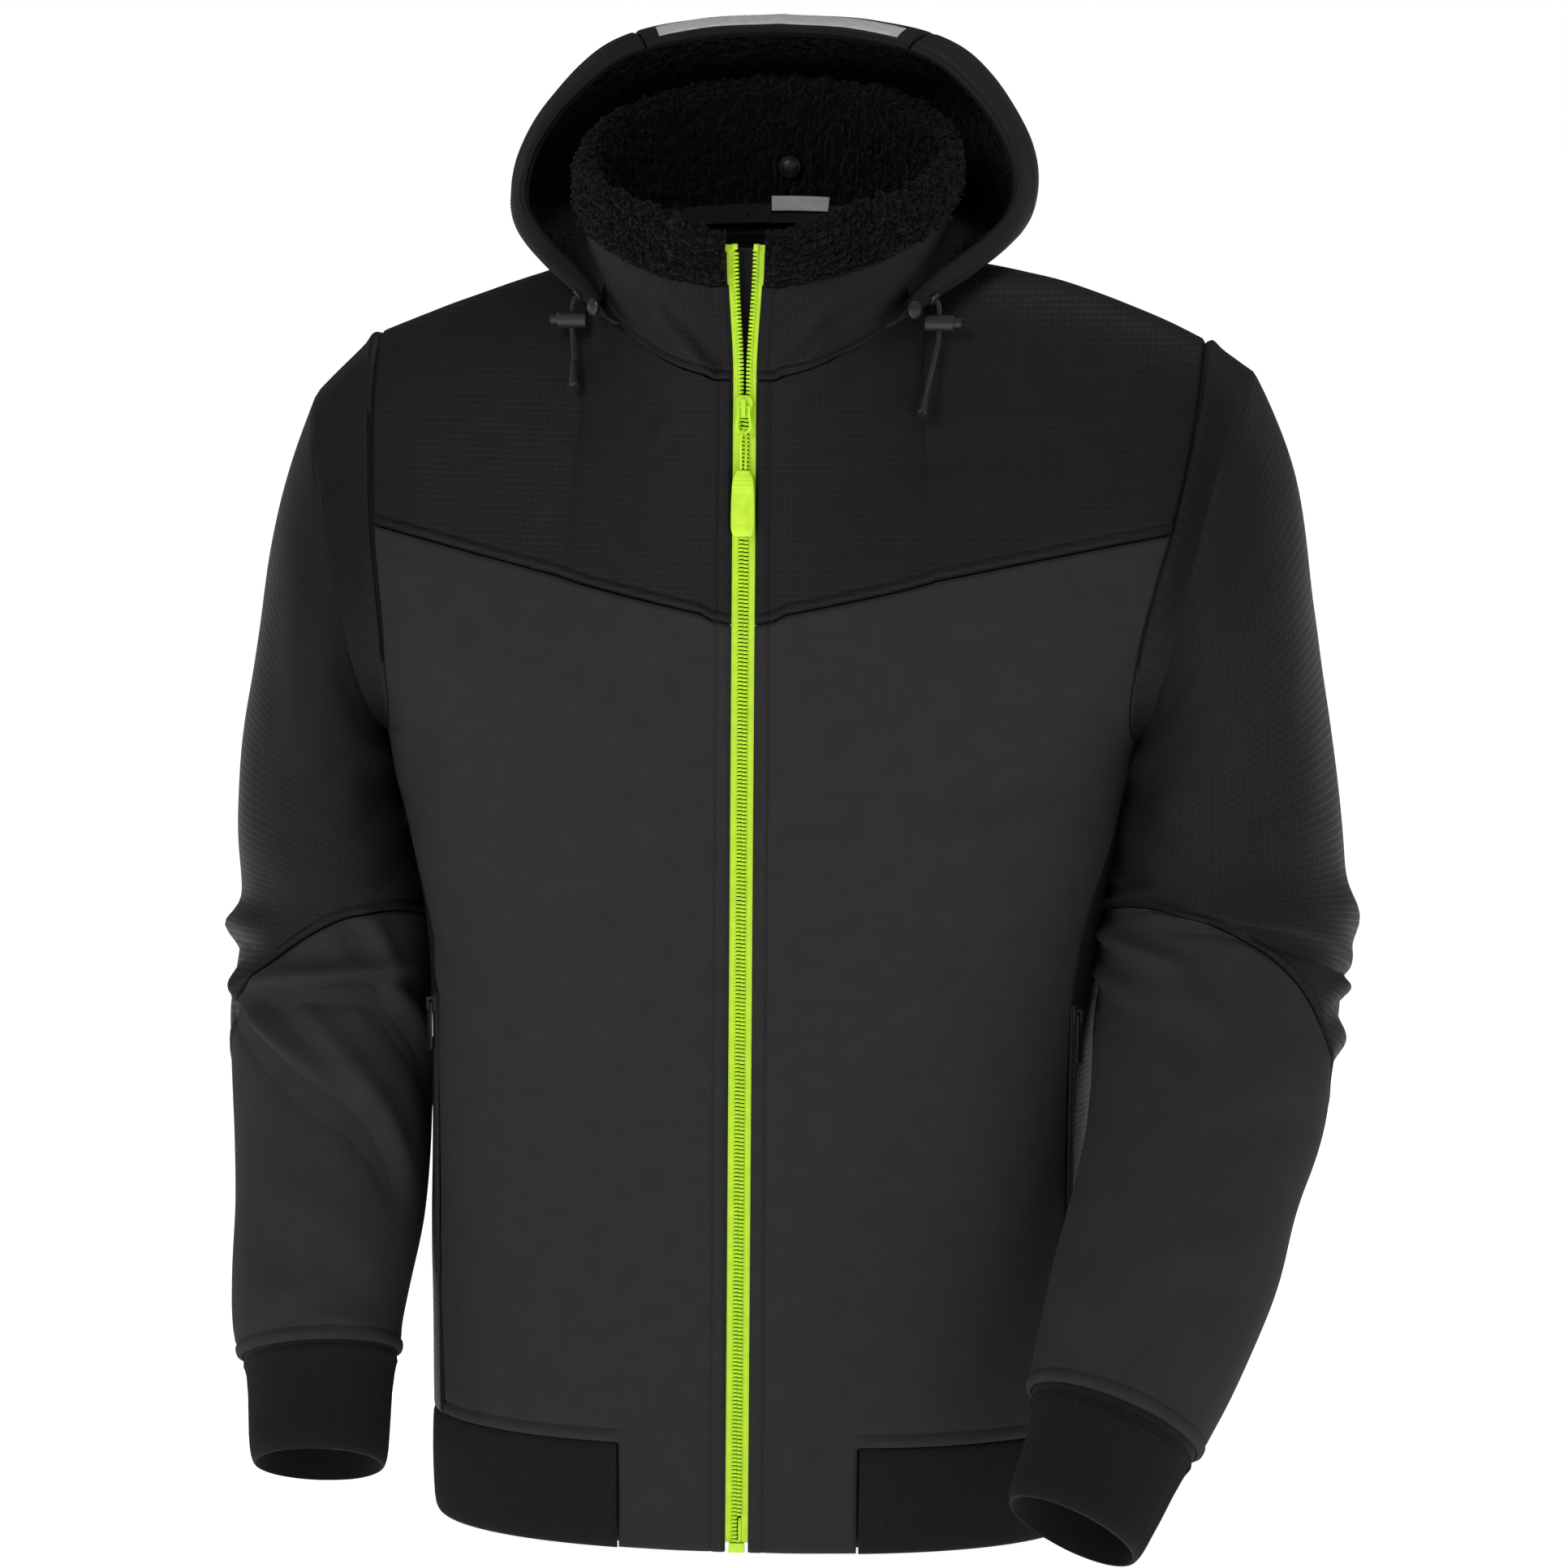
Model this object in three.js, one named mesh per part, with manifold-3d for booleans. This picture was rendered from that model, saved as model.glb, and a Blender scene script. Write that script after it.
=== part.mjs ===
// A men's size L hooded softshell work jacket, standing as if it were worn, zipped to the collar base.
// Millimetres. +Z is up, the front faces -Y and the wearer's left is +X.
// Heights are worked out from the bottom of the hem; the part's origin is the centre of the neck base.
import * as THREE from "three";
import { mergeVertices } from "three/addons/utils/BufferGeometryUtils.js";
import Module from "manifold-3d";

const wasm = await Module();
wasm.setup();
const { lerp, clamp, smoothstep, degToRad } = THREE.MathUtils;
const point = (x, y, z) => new THREE.Vector3(x, y, z);

// ---- Driving dimensions ----

const NECK_HEIGHT = 700; // neck base centre above the hem
const RIB_HEIGHT = 60;
const UNDERARM_HEIGHT = 455;
const SHOULDER_HEIGHT = 680; // shoulder tips
const SHELL = 2; // softshell and ripstop with their backing
const LINING_OUT = -4.2; // outer face of the lining, measured from the inner face of the shell
const LINING_IN = -5.8;
const FRONT = -1;
const BACK = 1;
const RIGHT = -1; // the wearer's right
const LEFT = 1;
const SIDES = [["right", RIGHT], ["left", LEFT]];

// Torso: a rounded section whose half width and depths change with the height.
const ROUNDNESS = 0.87;
const FRONT_FOOT = 126; // depth of the zip line at the hem
const ZIP_LEAN = 0.016; // the zip line is straight and leans back by this slope
const BLEND_FROM = 430; // above this height the body closes in towards the neck and the shoulders
const SIDE_SEAM_ANGLE = 69.3; // degrees round from the centre front or centre back
const ARMHOLE_LOW_ANGLE = 83.7;
const ARMHOLE_HIGH_ANGLE = 54.8;
const ARMHOLE_MIDDLE = 112; // height from the underarm to the widest part of the armhole
const SHOULDER_TIP = { [RIGHT]: 224, [LEFT]: 252 };
const SHOULDER_BULGE = { [RIGHT]: 3, [LEFT]: 9 };

// Neck base, collar and shoulder ridge.
const NECK_HALF_WIDTH = 92;
const NECK_SHARE = 0.42; // share of the top edge that belongs to the neck
const NECK_BACK = 78;
const NECK_FRONT_HEIGHT = 662;
const NECK_SIDE_HEIGHT = 726;
const NECK_BACK_HEIGHT = 738;
const RIDGE = 4;
const COLLAR_HALF_WIDTH = 105;
const COLLAR_BACK = 88;
const COLLAR_TOP = 786;
const COLLAR_TOP_RISE = 38;
const COLLAR_BULGE = 5;

// Main zip.
const ZIP_EDGE = 6.5; // where the folded front edges start on each side of the centre
const FLAT_EDGE = 17; // the fronts are flat from the zip to here
const ZIP_FOOT = 6;
const ZIP_TOP = 738;
const TAPE_WIDTH = 12.6;
const TAPE_START = 2.6;
const TAPE_THICKNESS = 0.9;
const TAPE_DEPTH = -0.85; // middle of the tape, measured outwards from the inner face of the shell
const TOOTH_ROW_GAP = 0.65; // from the centre line to a tooth row
const TOOTH_ROW_WIDTH = 2.4;
const TOOTH_THICKNESS = 3;
const SLIDER_HEIGHT = 648; // middle of the slider

// ---- Curves through hand-set stations ----

// A smooth curve through [position, value] stations.
function smoothThrough(stations) {
  const last = stations.length - 1;
  const slope = (k) => {
    const [x0, y0] = stations[Math.max(k - 1, 0)];
    const [x1, y1] = stations[Math.min(k + 1, last)];
    return (y1 - y0) / (x1 - x0);
  };
  return (at) => {
    let k = 0;
    while (k < last - 1 && at > stations[k + 1][0]) k += 1;
    const [x0, y0] = stations[k];
    const [x1, y1] = stations[k + 1];
    const span = x1 - x0;
    const u = clamp((at - x0) / span, 0, 1);
    const rise = u * u * (3 - 2 * u);
    const start = u * (1 - u) * (1 - u) * span * slope(k);
    const end = u * u * (u - 1) * span * slope(k + 1);
    return y0 + (y1 - y0) * rise + start + end;
  };
}

// The same for stations that hold several named values.
function smoothStations(stations, names) {
  const curves = names.map((name) => smoothThrough(stations.map((s) => [s.at, s[name] ?? 0])));
  return (at) => Object.fromEntries(names.map((name, k) => [name, curves[k](at)]));
}

// ---- Closed shells from a grid of point pairs ----

function geometryOf(points, triangles) {
  const geometry = new THREE.BufferGeometry();
  const flat = points.flatMap((p) => [p.x, p.y, p.z]);
  geometry.setAttribute("position", new THREE.Float32BufferAttribute(flat, 3));
  geometry.setIndex(triangles.flat());
  return geometry;
}

function signedVolume(points, triangles) {
  let sum = 0;
  for (const [a, b, c] of triangles) sum += points[a].dot(points[b].clone().cross(points[c]));
  return sum / 6;
}

// pairAt(i, j) gives the outer and the inner point of the cloth at a grid corner, and has(i, j) says
// whether the cell above and to the right of that corner is cloth. The rims are closed all round.
function clothShell(columns, rows, pairAt, { closed = false, has = () => true } = {}) {
  const points = [];
  const wide = closed ? columns : columns + 1;
  for (let j = 0; j <= rows; j += 1)
    for (let i = 0; i < wide; i += 1) points.push(...pairAt(i, j));
  const outer = (i, j) => 2 * (j * wide + (closed ? i % columns : i));
  const inner = (i, j) => outer(i, j) + 1;
  const cell = (i, j) => {
    const column = closed ? (i + columns) % columns : i;
    return column >= 0 && column < columns && j >= 0 && j < rows && has(column, j);
  };
  const triangles = [];
  const quad = (a, b, c, d) => triangles.push([a, b, c], [a, c, d]);
  const rim = (i0, j0, i1, j1) => quad(outer(i1, j1), outer(i0, j0), inner(i0, j0), inner(i1, j1));
  for (let j = 0; j < rows; j += 1)
    for (let i = 0; i < columns; i += 1) {
      if (!cell(i, j)) continue;
      quad(outer(i, j), outer(i + 1, j), outer(i + 1, j + 1), outer(i, j + 1));
      quad(inner(i, j + 1), inner(i + 1, j + 1), inner(i + 1, j), inner(i, j));
      if (!cell(i, j - 1)) rim(i, j, i + 1, j);
      if (!cell(i + 1, j)) rim(i + 1, j, i + 1, j + 1);
      if (!cell(i, j + 1)) rim(i + 1, j + 1, i, j + 1);
      if (!cell(i - 1, j)) rim(i, j + 1, i, j);
    }
  const used = [...new Set(triangles.flat())];
  const renumber = new Map(used.map((old, k) => [old, k]));
  const kept = used.map((old) => points[old]);
  const faces = triangles.map((t) => t.map((old) => renumber.get(old)));
  if (signedVolume(kept, faces) < 0) faces.forEach((t) => t.reverse());
  return geometryOf(kept, faces);
}

// A surface function of two values, pushed out along its normal. facingOut(normal, p) tells whether
// that normal points outwards.
function offsetPoint(skin, u, v, reach, out, facingOut) {
  const p = skin(u, v);
  const along = skin(Math.min(u + reach.u, reach.uMax), v).sub(skin(Math.max(u - reach.u, reach.uMin), v));
  const up = skin(u, Math.min(v + reach.v, reach.vMax)).sub(skin(u, Math.max(v - reach.v, reach.vMin)));
  const normal = along.cross(up).normalize();
  if (!facingOut(normal, p)) normal.negate();
  return p.addScaledVector(normal, out);
}

const awayFrom = (centre) => (normal, p) => normal.dot(p.clone().sub(centre(p))) >= 0;

// ---- Joining and cutting ----

function solid(geometry) {
  const bare = geometry.clone();
  bare.deleteAttribute("normal");
  bare.deleteAttribute("uv");
  const merged = mergeVertices(bare, 1e-4);
  const mesh = new wasm.Mesh({
    numProp: 3,
    vertProperties: new Float32Array(merged.attributes.position.array),
    triVerts: new Uint32Array(merged.index.array),
  });
  return new wasm.Manifold(mesh);
}

function geometryFrom(made) {
  const mesh = made.getMesh();
  const geometry = new THREE.BufferGeometry();
  geometry.setAttribute("position", new THREE.Float32BufferAttribute(mesh.vertProperties, 3));
  geometry.setIndex([...mesh.triVerts]);
  return geometry;
}

const joined = (...shapes) => geometryFrom(shapes.map(solid).reduce((a, b) => a.add(b)));
const cut = (shape, ...tools) =>
  geometryFrom(tools.map(solid).reduce((a, b) => a.subtract(b), solid(shape)));
const box = (wide, deep, high, x = 0, y = 0, z = 0) =>
  new THREE.BoxGeometry(wide, deep, high).translate(x, y, z);
const profileOf = (pairs) => pairs.map(([r, h]) => new THREE.Vector2(r, h));

// A flat outline in X and Z, thickened evenly along Y.
function plate(shape, thickness, curveSegments = 6) {
  const settings = { depth: thickness, bevelEnabled: false, curveSegments };
  const geometry = new THREE.ExtrudeGeometry(shape, settings);
  return geometry.rotateX(Math.PI / 2).translate(0, thickness / 2, 0);
}

function tube(route, radius, sides, steps) {
  const ring = new THREE.Shape().absarc(0, 0, radius, 0, 2 * Math.PI, false);
  const extrudePath = new THREE.CatmullRomCurve3(route);
  const settings = { steps, extrudePath, curveSegments: sides / 2, bevelEnabled: false };
  return new THREE.ExtrudeGeometry(ring, settings);
}

// ---- Torso surface ----

const halfWidth = smoothThrough([
  [0, 187], [150, 190], [260, 190], [345, 194], [400, 204], [455, 216], [500, 236], [567, 253], [700, 256],
]);
const backDepth = smoothThrough([
  [0, 114], [120, 112], [260, 112], [400, 122], [520, 130], [640, 128], [700, 120],
]);
const frontDepth = (z) => FRONT_FOOT - ZIP_LEAN * z;

// How far round from the centre the armhole edge lies, in radians.
function armholeAngle(height) {
  const low = degToRad(ARMHOLE_LOW_ANGLE);
  const climb = clamp((height - UNDERARM_HEIGHT) / ARMHOLE_MIDDLE, 0, 1);
  return low - degToRad(ARMHOLE_LOW_ANGLE - ARMHOLE_HIGH_ANGLE) * Math.sqrt(1 - (1 - climb) ** 2);
}

// The edge of a front or back: the side panel's seam below the underarm, the armhole above it.
function edgeAngle(height) {
  if (height > UNDERARM_HEIGHT) return armholeAngle(height);
  const widen = smoothstep(height, 300, UNDERARM_HEIGHT);
  return degToRad(lerp(SIDE_SEAM_ANGLE, ARMHOLE_LOW_ANGLE, widen));
}

// The neck base, with turn 0 at the centre of that face and a quarter turn at the side of the neck.
function neckBase(side, face, turn) {
  const x = side * NECK_HALF_WIDTH * Math.sin(turn);
  if (face === BACK) {
    const z = NECK_SIDE_HEIGHT + (NECK_BACK_HEIGHT - NECK_SIDE_HEIGHT) * Math.cos(turn);
    return point(x, RIDGE + (NECK_BACK - RIDGE) * Math.cos(turn), z);
  }
  const front = -frontDepth(NECK_FRONT_HEIGHT);
  const z = NECK_FRONT_HEIGHT + (NECK_SIDE_HEIGHT - NECK_FRONT_HEIGHT) * (1 - Math.cos(turn)) ** 0.9;
  return point(x, RIDGE + (front - RIDGE) * Math.cos(turn), z);
}

function topEdge(side, face, share) {
  if (share < NECK_SHARE) return neckBase(side, face, (share / NECK_SHARE) * (Math.PI / 2));
  const out = (share - NECK_SHARE) / (1 - NECK_SHARE);
  const z = lerp(NECK_SIDE_HEIGHT, SHOULDER_HEIGHT, out) + SHOULDER_BULGE[side] * 4 * out * (1 - out);
  return point(side * lerp(NECK_HALF_WIDTH, SHOULDER_TIP[side], out), RIDGE, z);
}

// Nominal height runs to SHOULDER_HEIGHT in every column; the true one follows the neck and shoulder.
function trueHeight(height, top) {
  if (height < BLEND_FROM) return height;
  return BLEND_FROM + ((height - BLEND_FROM) / (SHOULDER_HEIGHT - BLEND_FROM)) * (top.z - BLEND_FROM);
}

function torsoSkin(side, face, angle, height) {
  const share = Math.min(1, angle / armholeAngle(height));
  const top = topEdge(side, face, share);
  const z = trueHeight(height, top);
  const depth = face === FRONT ? frontDepth(z) : backDepth(z);
  const x = side * halfWidth(z) * Math.sin(angle) ** ROUNDNESS;
  const y = face * depth * Math.cos(angle) ** ROUNDNESS;
  const rise = clamp((z - BLEND_FROM) / (top.z - BLEND_FROM), 0, 1);
  const over = 1 - Math.sqrt(1 - rise * rise);
  const bend = face === FRONT ? lerp(rise * rise, over, smoothstep(share, 0, NECK_SHARE)) : over;
  return point(lerp(x, top.x, smoothstep(rise, 0, 1)), lerp(y, top.y, bend), z);
}

function torso(side, face, angle, height, out) {
  const skin = (u, v) => torsoSkin(side, face, u, v);
  const reach = { u: 0.017, uMin: 0, uMax: Math.PI / 2, v: 2, vMin: 0, vMax: SHOULDER_HEIGHT };
  const facingOut = awayFrom((p) => point(0, 0, Math.min(p.z, 600)));
  return offsetPoint(skin, angle, height, reach, out, facingOut);
}

// The flat strip of the front beside the zip.
function frontStrip(side, x, height, out) {
  const z = trueHeight(height, topEdge(side, FRONT, 0));
  return point(side * x, -frontDepth(z) - out, z);
}

// Nominal height of the yoke seam, which climbs from the centre to the armhole.
function yokeSeam(side, face, share) {
  const z = face === FRONT ? lerp(526, 575, share ** 0.8) : lerp(560, 572, share);
  const top = topEdge(side, face, share);
  const climb = (z - BLEND_FROM) / (top.z - BLEND_FROM);
  return BLEND_FROM + climb * (SHOULDER_HEIGHT - BLEND_FROM);
}

// ---- Cloth materials and the scene ----

const coat = new THREE.Group();
coat.position.z = -NECK_HEIGHT;

const cloth = (color, roughness) => () => new THREE.MeshStandardMaterial({ color, roughness, metalness: 0 });
const softshell = cloth(0x333333, 0.85);
const ripstop = cloth(0x242426, 0.6);
const sherpa = cloth(0x18181a, 0.95);
const ribKnit = cloth(0x1c1c1e, 0.9);
const liningFleece = cloth(0x1a1a1c, 0.95);
const blackTape = cloth(0x141414, 0.8);
const neonTape = cloth(0xccff33, 0.6);
const greyTape = cloth(0xc8c8c8, 0.4);
const blackPlastic = cloth(0x101010, 0.45);
const neonPlastic = cloth(0xccff33, 0.4);
const gunmetal = () => new THREE.MeshStandardMaterial({ color: 0x3a3b3d, roughness: 0.35, metalness: 0.9 });

function add(name, geometry, material, parent = coat) {
  const mesh = new THREE.Mesh(geometry, material());
  mesh.name = name;
  parent.add(mesh);
  return mesh;
}

// ---- Fronts, yokes, back and side panels ----

const FRONT_SHARES = [0.15, 0.254, 0.38, 0.51, 0.64, 0.76, 0.88, 1]; // columns after the flat strip
const TAB_COLUMNS = 3; // the front's end at the hem, beside the zip, is this many cells wide
const LOW_ROWS = [0, 30, RIB_HEIGHT, 115, 175, 235, 295, 345, 390, 425, UNDERARM_HEIGHT];
const UPPER_STEPS = [0.1, 0.25, 0.5, 0.75, 1];
const YOKE_STEPS = [0, 0.25, 0.45, 0.62, 0.74, 0.84, 0.92, 0.975, 1];
const YOKE_TOP = SHOULDER_HEIGHT - 0.03;
const SEAM_GAP = 1;
const SIDE_GAP = 0.006; // radians left open at each side panel seam

function frontPoint(side, column, height, out) {
  if (column < 2) return frontStrip(side, [ZIP_EDGE, FLAT_EDGE][column], height, out);
  const share = FRONT_SHARES[column - 2];
  return torso(side, FRONT, share * (edgeAngle(height) - SIDE_GAP), height, out);
}

const frontShare = (column) => (column < 2 ? 0.02 * column : FRONT_SHARES[column - 2]);

function frontPanel(side) {
  const columns = FRONT_SHARES.length + 1;
  const rows = LOW_ROWS.length - 1 + UPPER_STEPS.length;
  const heightAt = (i, j) => {
    if (j < LOW_ROWS.length) return Math.max(LOW_ROWS[j], 0.5);
    const seam = yokeSeam(side, FRONT, frontShare(i)) - SEAM_GAP;
    return lerp(UNDERARM_HEIGHT, seam, UPPER_STEPS[j - LOW_ROWS.length]);
  };
  const pairAt = (i, j) => [SHELL, 0].map((out) => frontPoint(side, i, heightAt(i, j), out));
  const has = (i, j) => j >= 2 || i < TAB_COLUMNS;
  return clothShell(columns, rows, pairAt, { has });
}

function frontYoke(side) {
  const columns = FRONT_SHARES.length + 1;
  const heightAt = (i, j) => lerp(yokeSeam(side, FRONT, frontShare(i)), YOKE_TOP, YOKE_STEPS[j]);
  const pairAt = (i, j) => [SHELL, 0].map((out) => frontPoint(side, i, heightAt(i, j), out));
  return clothShell(columns, YOKE_STEPS.length - 1, pairAt);
}

// The back goes from the wearer's right edge to the left one in one piece.
const BACK_SHARES = [-1, -0.86, -0.72, -0.57, -0.42, -0.28, -0.14, 0, 0.14, 0.28, 0.42, 0.57, 0.72, 0.86, 1];

function backPoint(column, height, out) {
  const share = BACK_SHARES[column];
  const side = share < 0 ? RIGHT : LEFT;
  return torso(side, BACK, Math.abs(share) * (edgeAngle(height) - SIDE_GAP), height, out);
}

function backPart(heightsOf, rows, outer, inner) {
  const sideOf = (i) => (BACK_SHARES[i] < 0 ? RIGHT : LEFT);
  const heightAt = (i, j) => heightsOf(yokeSeam(sideOf(i), BACK, Math.abs(BACK_SHARES[i])), j);
  const pairAt = (i, j) => [outer, inner].map((out) => backPoint(i, heightAt(i, j), out));
  return clothShell(BACK_SHARES.length - 1, rows, pairAt);
}

const panelRows = [...LOW_ROWS.slice(2)];
const backPanelHeight = (seam, j) => {
  if (j < panelRows.length) return panelRows[j];
  return lerp(UNDERARM_HEIGHT, seam - SEAM_GAP, UPPER_STEPS[j - panelRows.length]);
};
const backYokeHeight = (seam, j) => lerp(seam, YOKE_TOP, YOKE_STEPS[j]);

// Round the side from the front seam to the back seam. around runs from 0 to 1.
function sidePoint(side, around, height, out) {
  const edge = edgeAngle(height) + SIDE_GAP;
  const angle = lerp(edge, Math.PI - edge, around);
  const face = angle > Math.PI / 2 ? BACK : FRONT;
  return torso(side, face, face === BACK ? Math.PI - angle : angle, height, out);
}

function sidePanel(side) {
  const columns = 6;
  const heights = LOW_ROWS.slice(2).map((h) => Math.min(h, UNDERARM_HEIGHT - SEAM_GAP));
  const pairAt = (i, j) => [SHELL, 0].map((out) => sidePoint(side, i / columns, heights[j], out));
  return clothShell(columns, heights.length - 1, pairAt);
}

for (const [name, side] of SIDES) {
  add(`front_panel_${name}`, frontPanel(side), softshell);
  add(`front_yoke_${name}`, frontYoke(side), ripstop);
  add(`side_panel_${name}`, sidePanel(side), ripstop);
}
add("back_panel", backPart(backPanelHeight, panelRows.length - 1 + UPPER_STEPS.length, SHELL, 0), softshell);
add("back_yoke", backPart(backYokeHeight, YOKE_STEPS.length - 1, SHELL, 0), ripstop);

// ---- Body lining: two fronts and a back, behind every shell panel ----

const LINING_EDGE = 8;
const LINING_ROWS = [3, 60, 150, 235, 310, 375, 425, 455, 475, 505, 535, 562, 585, 603];
const LINING_SHARES = [0.14, 0.26, 0.38, 0.51, 0.64, 0.76, 0.87, 0.96];

function liningAngle(height, share) {
  const whole = height > UNDERARM_HEIGHT ? armholeAngle(height) : Math.PI / 2;
  const narrow = smoothstep(height, UNDERARM_HEIGHT - 35, UNDERARM_HEIGHT);
  return share * (height > UNDERARM_HEIGHT ? whole : lerp(whole, degToRad(ARMHOLE_LOW_ANGLE), narrow));
}

function frontLining(side) {
  const pairAt = (i, j) => {
    const height = LINING_ROWS[j];
    return [LINING_OUT, LINING_IN].map((out) => {
      if (i < 2) return frontStrip(side, [LINING_EDGE, FLAT_EDGE][i], height, out);
      return torso(side, FRONT, liningAngle(height, LINING_SHARES[i - 2]), height, out);
    });
  };
  return clothShell(LINING_SHARES.length + 1, LINING_ROWS.length - 1, pairAt);
}

function backLining() {
  const shares = [...LINING_SHARES.map((s) => -s).reverse(), 0, ...LINING_SHARES];
  const pairAt = (i, j) => {
    const side = shares[i] < 0 ? RIGHT : LEFT;
    const angle = liningAngle(LINING_ROWS[j], Math.abs(shares[i]));
    return [LINING_OUT, LINING_IN].map((out) => torso(side, BACK, angle, LINING_ROWS[j], out));
  };
  return clothShell(shares.length - 1, LINING_ROWS.length - 1, pairAt);
}

for (const [name, side] of SIDES) add(`front_lining_${name}`, frontLining(side), liningFleece);
add("back_lining", backLining(), liningFleece);

// ---- Hem rib: two sides and a back, standing on the flat bottom edge ----

const RIB_THICKNESS = 3;
const RIB_TOP = RIB_HEIGHT - 1;
const RIB_START_ANGLE = 18.6; // just behind the fronts' ends
const RIB_BACK_ANGLE = 118; // from the centre front, where the side and the back rib are sewn together

function hemPoint(side, degrees, height, out) {
  const angle = degToRad(degrees > 90 ? 180 - degrees : degrees);
  return torso(side, degrees > 90 ? BACK : FRONT, angle, height, out);
}

function hemRib(degreesAt, sideAt, columns) {
  const heights = [0, 22, 42, RIB_TOP];
  const pairAt = (i, j) => {
    const z = heights[j];
    return [RIB_THICKNESS - 1, -1].map((out) => {
      const p = hemPoint(sideAt(i), degreesAt(i), z, out);
      p.z = z;
      return p;
    });
  };
  return clothShell(columns, heights.length - 1, pairAt);
}

const frontRibDegrees = (i) => lerp(RIB_START_ANGLE, RIB_BACK_ANGLE, i / 12);
for (const [name, side] of SIDES)
  add(`hem_rib_${name}`, hemRib(frontRibDegrees, () => side, 12), ribKnit);
const backRibSpan = 180 - RIB_BACK_ANGLE - 0.5;
const backRibShare = (i) => lerp(-1, 1, i / 14);
const backRibDegrees = (i) => 180 - Math.abs(backRibShare(i)) * backRibSpan;
add("hem_rib_back", hemRib(backRibDegrees, (i) => (backRibShare(i) < 0 ? RIGHT : LEFT), 14), ribKnit);

// ---- Sleeves ----

// Each ring has its centre, half sizes across and front to back, the tilt of its outward axis in
// degrees and the forward pitch of the arm. at counts the stations from the armhole, which is 0.
const RING_VALUES = ["x", "y", "z", "across", "deep", "tilt", "pitch"];
const RIGHT_ARM = smoothStations([
  { at: 1, x: 241, y: 1, z: 550, across: 99, deep: 77, tilt: 80 },
  { at: 2, x: 249.4, y: 3, z: 515.2, across: 81.8, deep: 80, tilt: 69.4 },
  { at: 3, x: 254.2, y: 6, z: 468.6, across: 59.8, deep: 80, tilt: 51.5 },
  { at: 4, x: 254.6, y: 9, z: 427, across: 55.4, deep: 79, tilt: 34 },
  { at: 5, x: 254.1, y: 10, z: 380, across: 54.7, deep: 76, tilt: 17 },
  { at: 6, x: 251.4, y: 9, z: 340, across: 53.6, deep: 70, tilt: 6, pitch: 3 },
  { at: 7, x: 253, y: 2, z: 292, across: 57, deep: 65, pitch: 9 },
  { at: 8, x: 251, y: -8, z: 234, across: 56, deep: 61, pitch: 12 },
  { at: 9, x: 250, y: -22, z: 172, across: 53, deep: 57, pitch: 15 },
  { at: 10, x: 254, y: -38, z: 118, across: 48, deep: 49, tilt: -2, pitch: 19 },
  { at: 11, x: 252, y: -46, z: 92, across: 45, deep: 44, tilt: -5, pitch: 22 },
  { at: 12, x: 251, y: -49, z: 84, across: 40, deep: 40, tilt: -5, pitch: 22 },
  { at: 13, x: 250, y: -57, z: 60, across: 38, deep: 38, tilt: -4, pitch: 24 },
  { at: 14, x: 249, y: -68, z: 32, across: 37, deep: 37, tilt: -2, pitch: 26 },
], RING_VALUES);
const LEFT_ARM = smoothStations([
  { at: 1, x: 250.4, y: 1, z: 556.6, across: 110, deep: 77, tilt: 75.7 },
  { at: 2, x: 260.8, y: 2, z: 523.5, across: 94.8, deep: 80, tilt: 64.6 },
  { at: 3, x: 265.7, y: 4, z: 476.5, across: 72.3, deep: 80, tilt: 47.6 },
  { at: 4, x: 266.3, y: 6, z: 429, across: 66.7, deep: 78, tilt: 30 },
  { at: 5, x: 267.7, y: 6, z: 383, across: 65.2, deep: 75, tilt: 10 },
  { at: 6, x: 266.6, y: 0, z: 340, across: 67.5, deep: 68, tilt: -2, pitch: 13 },
  { at: 7, x: 264, y: -20, z: 298, across: 68.5, deep: 62, tilt: -2, pitch: 26 },
  { at: 8, x: 260.5, y: -55, z: 247, across: 65.5, deep: 56, tilt: -4, pitch: 31 },
  { at: 9, x: 250, y: -84, z: 203, across: 61, deep: 54, tilt: -6, pitch: 32 },
  { at: 10, x: 238, y: -112, z: 155, across: 60, deep: 51, tilt: -8, pitch: 32 },
  { at: 11, x: 214, y: -149, z: 85, across: 49, deep: 43, tilt: -19, pitch: 32 },
  { at: 12, x: 212, y: -153, z: 78, across: 43, deep: 40, tilt: -20, pitch: 32 },
  { at: 13, x: 204, y: -165, z: 54, across: 39, deep: 38, tilt: -21, pitch: 32 },
  { at: 14, x: 193, y: -177, z: 29, across: 37, deep: 37, tilt: -22, pitch: 32 },
], RING_VALUES);
const ARM = { [RIGHT]: RIGHT_ARM, [LEFT]: LEFT_ARM };
const SEAM_STATION = 11; // the rib knit cuff is sewn on here
const CUFF_START = 11.35;
const CUFF_END = 14;
const SLEEVE_SEAM_GAP = 0.03;
const SLEEVE_LINING_OUT = -5.6;
const SLEEVE_LINING_IN = -7;
const RING_POINTS = 20;
const ARMHOLE_RADIUS = 112.5;
const ARMHOLE_CENTRE = UNDERARM_HEIGHT + ARMHOLE_RADIUS;

// turn is -90 degrees at the underarm, 0 at the front and 90 at the top of the shoulder.
const ringTurn = (i) => degToRad(-90 + ((i + 0.5) * 360) / RING_POINTS);

// A point of the armhole, set just clear of the body's edge.
function armholePoint(side, turn, out) {
  const height = Math.min(ARMHOLE_CENTRE + ARMHOLE_RADIUS * Math.sin(turn), SHOULDER_HEIGHT - 0.5);
  const face = Math.cos(turn) > 0 ? FRONT : BACK;
  const p = torso(side, face, armholeAngle(height), height, out);
  return p.add(point(side * 1.6, 0, 2.4 * Math.max(0, -Math.sin(turn))));
}

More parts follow.
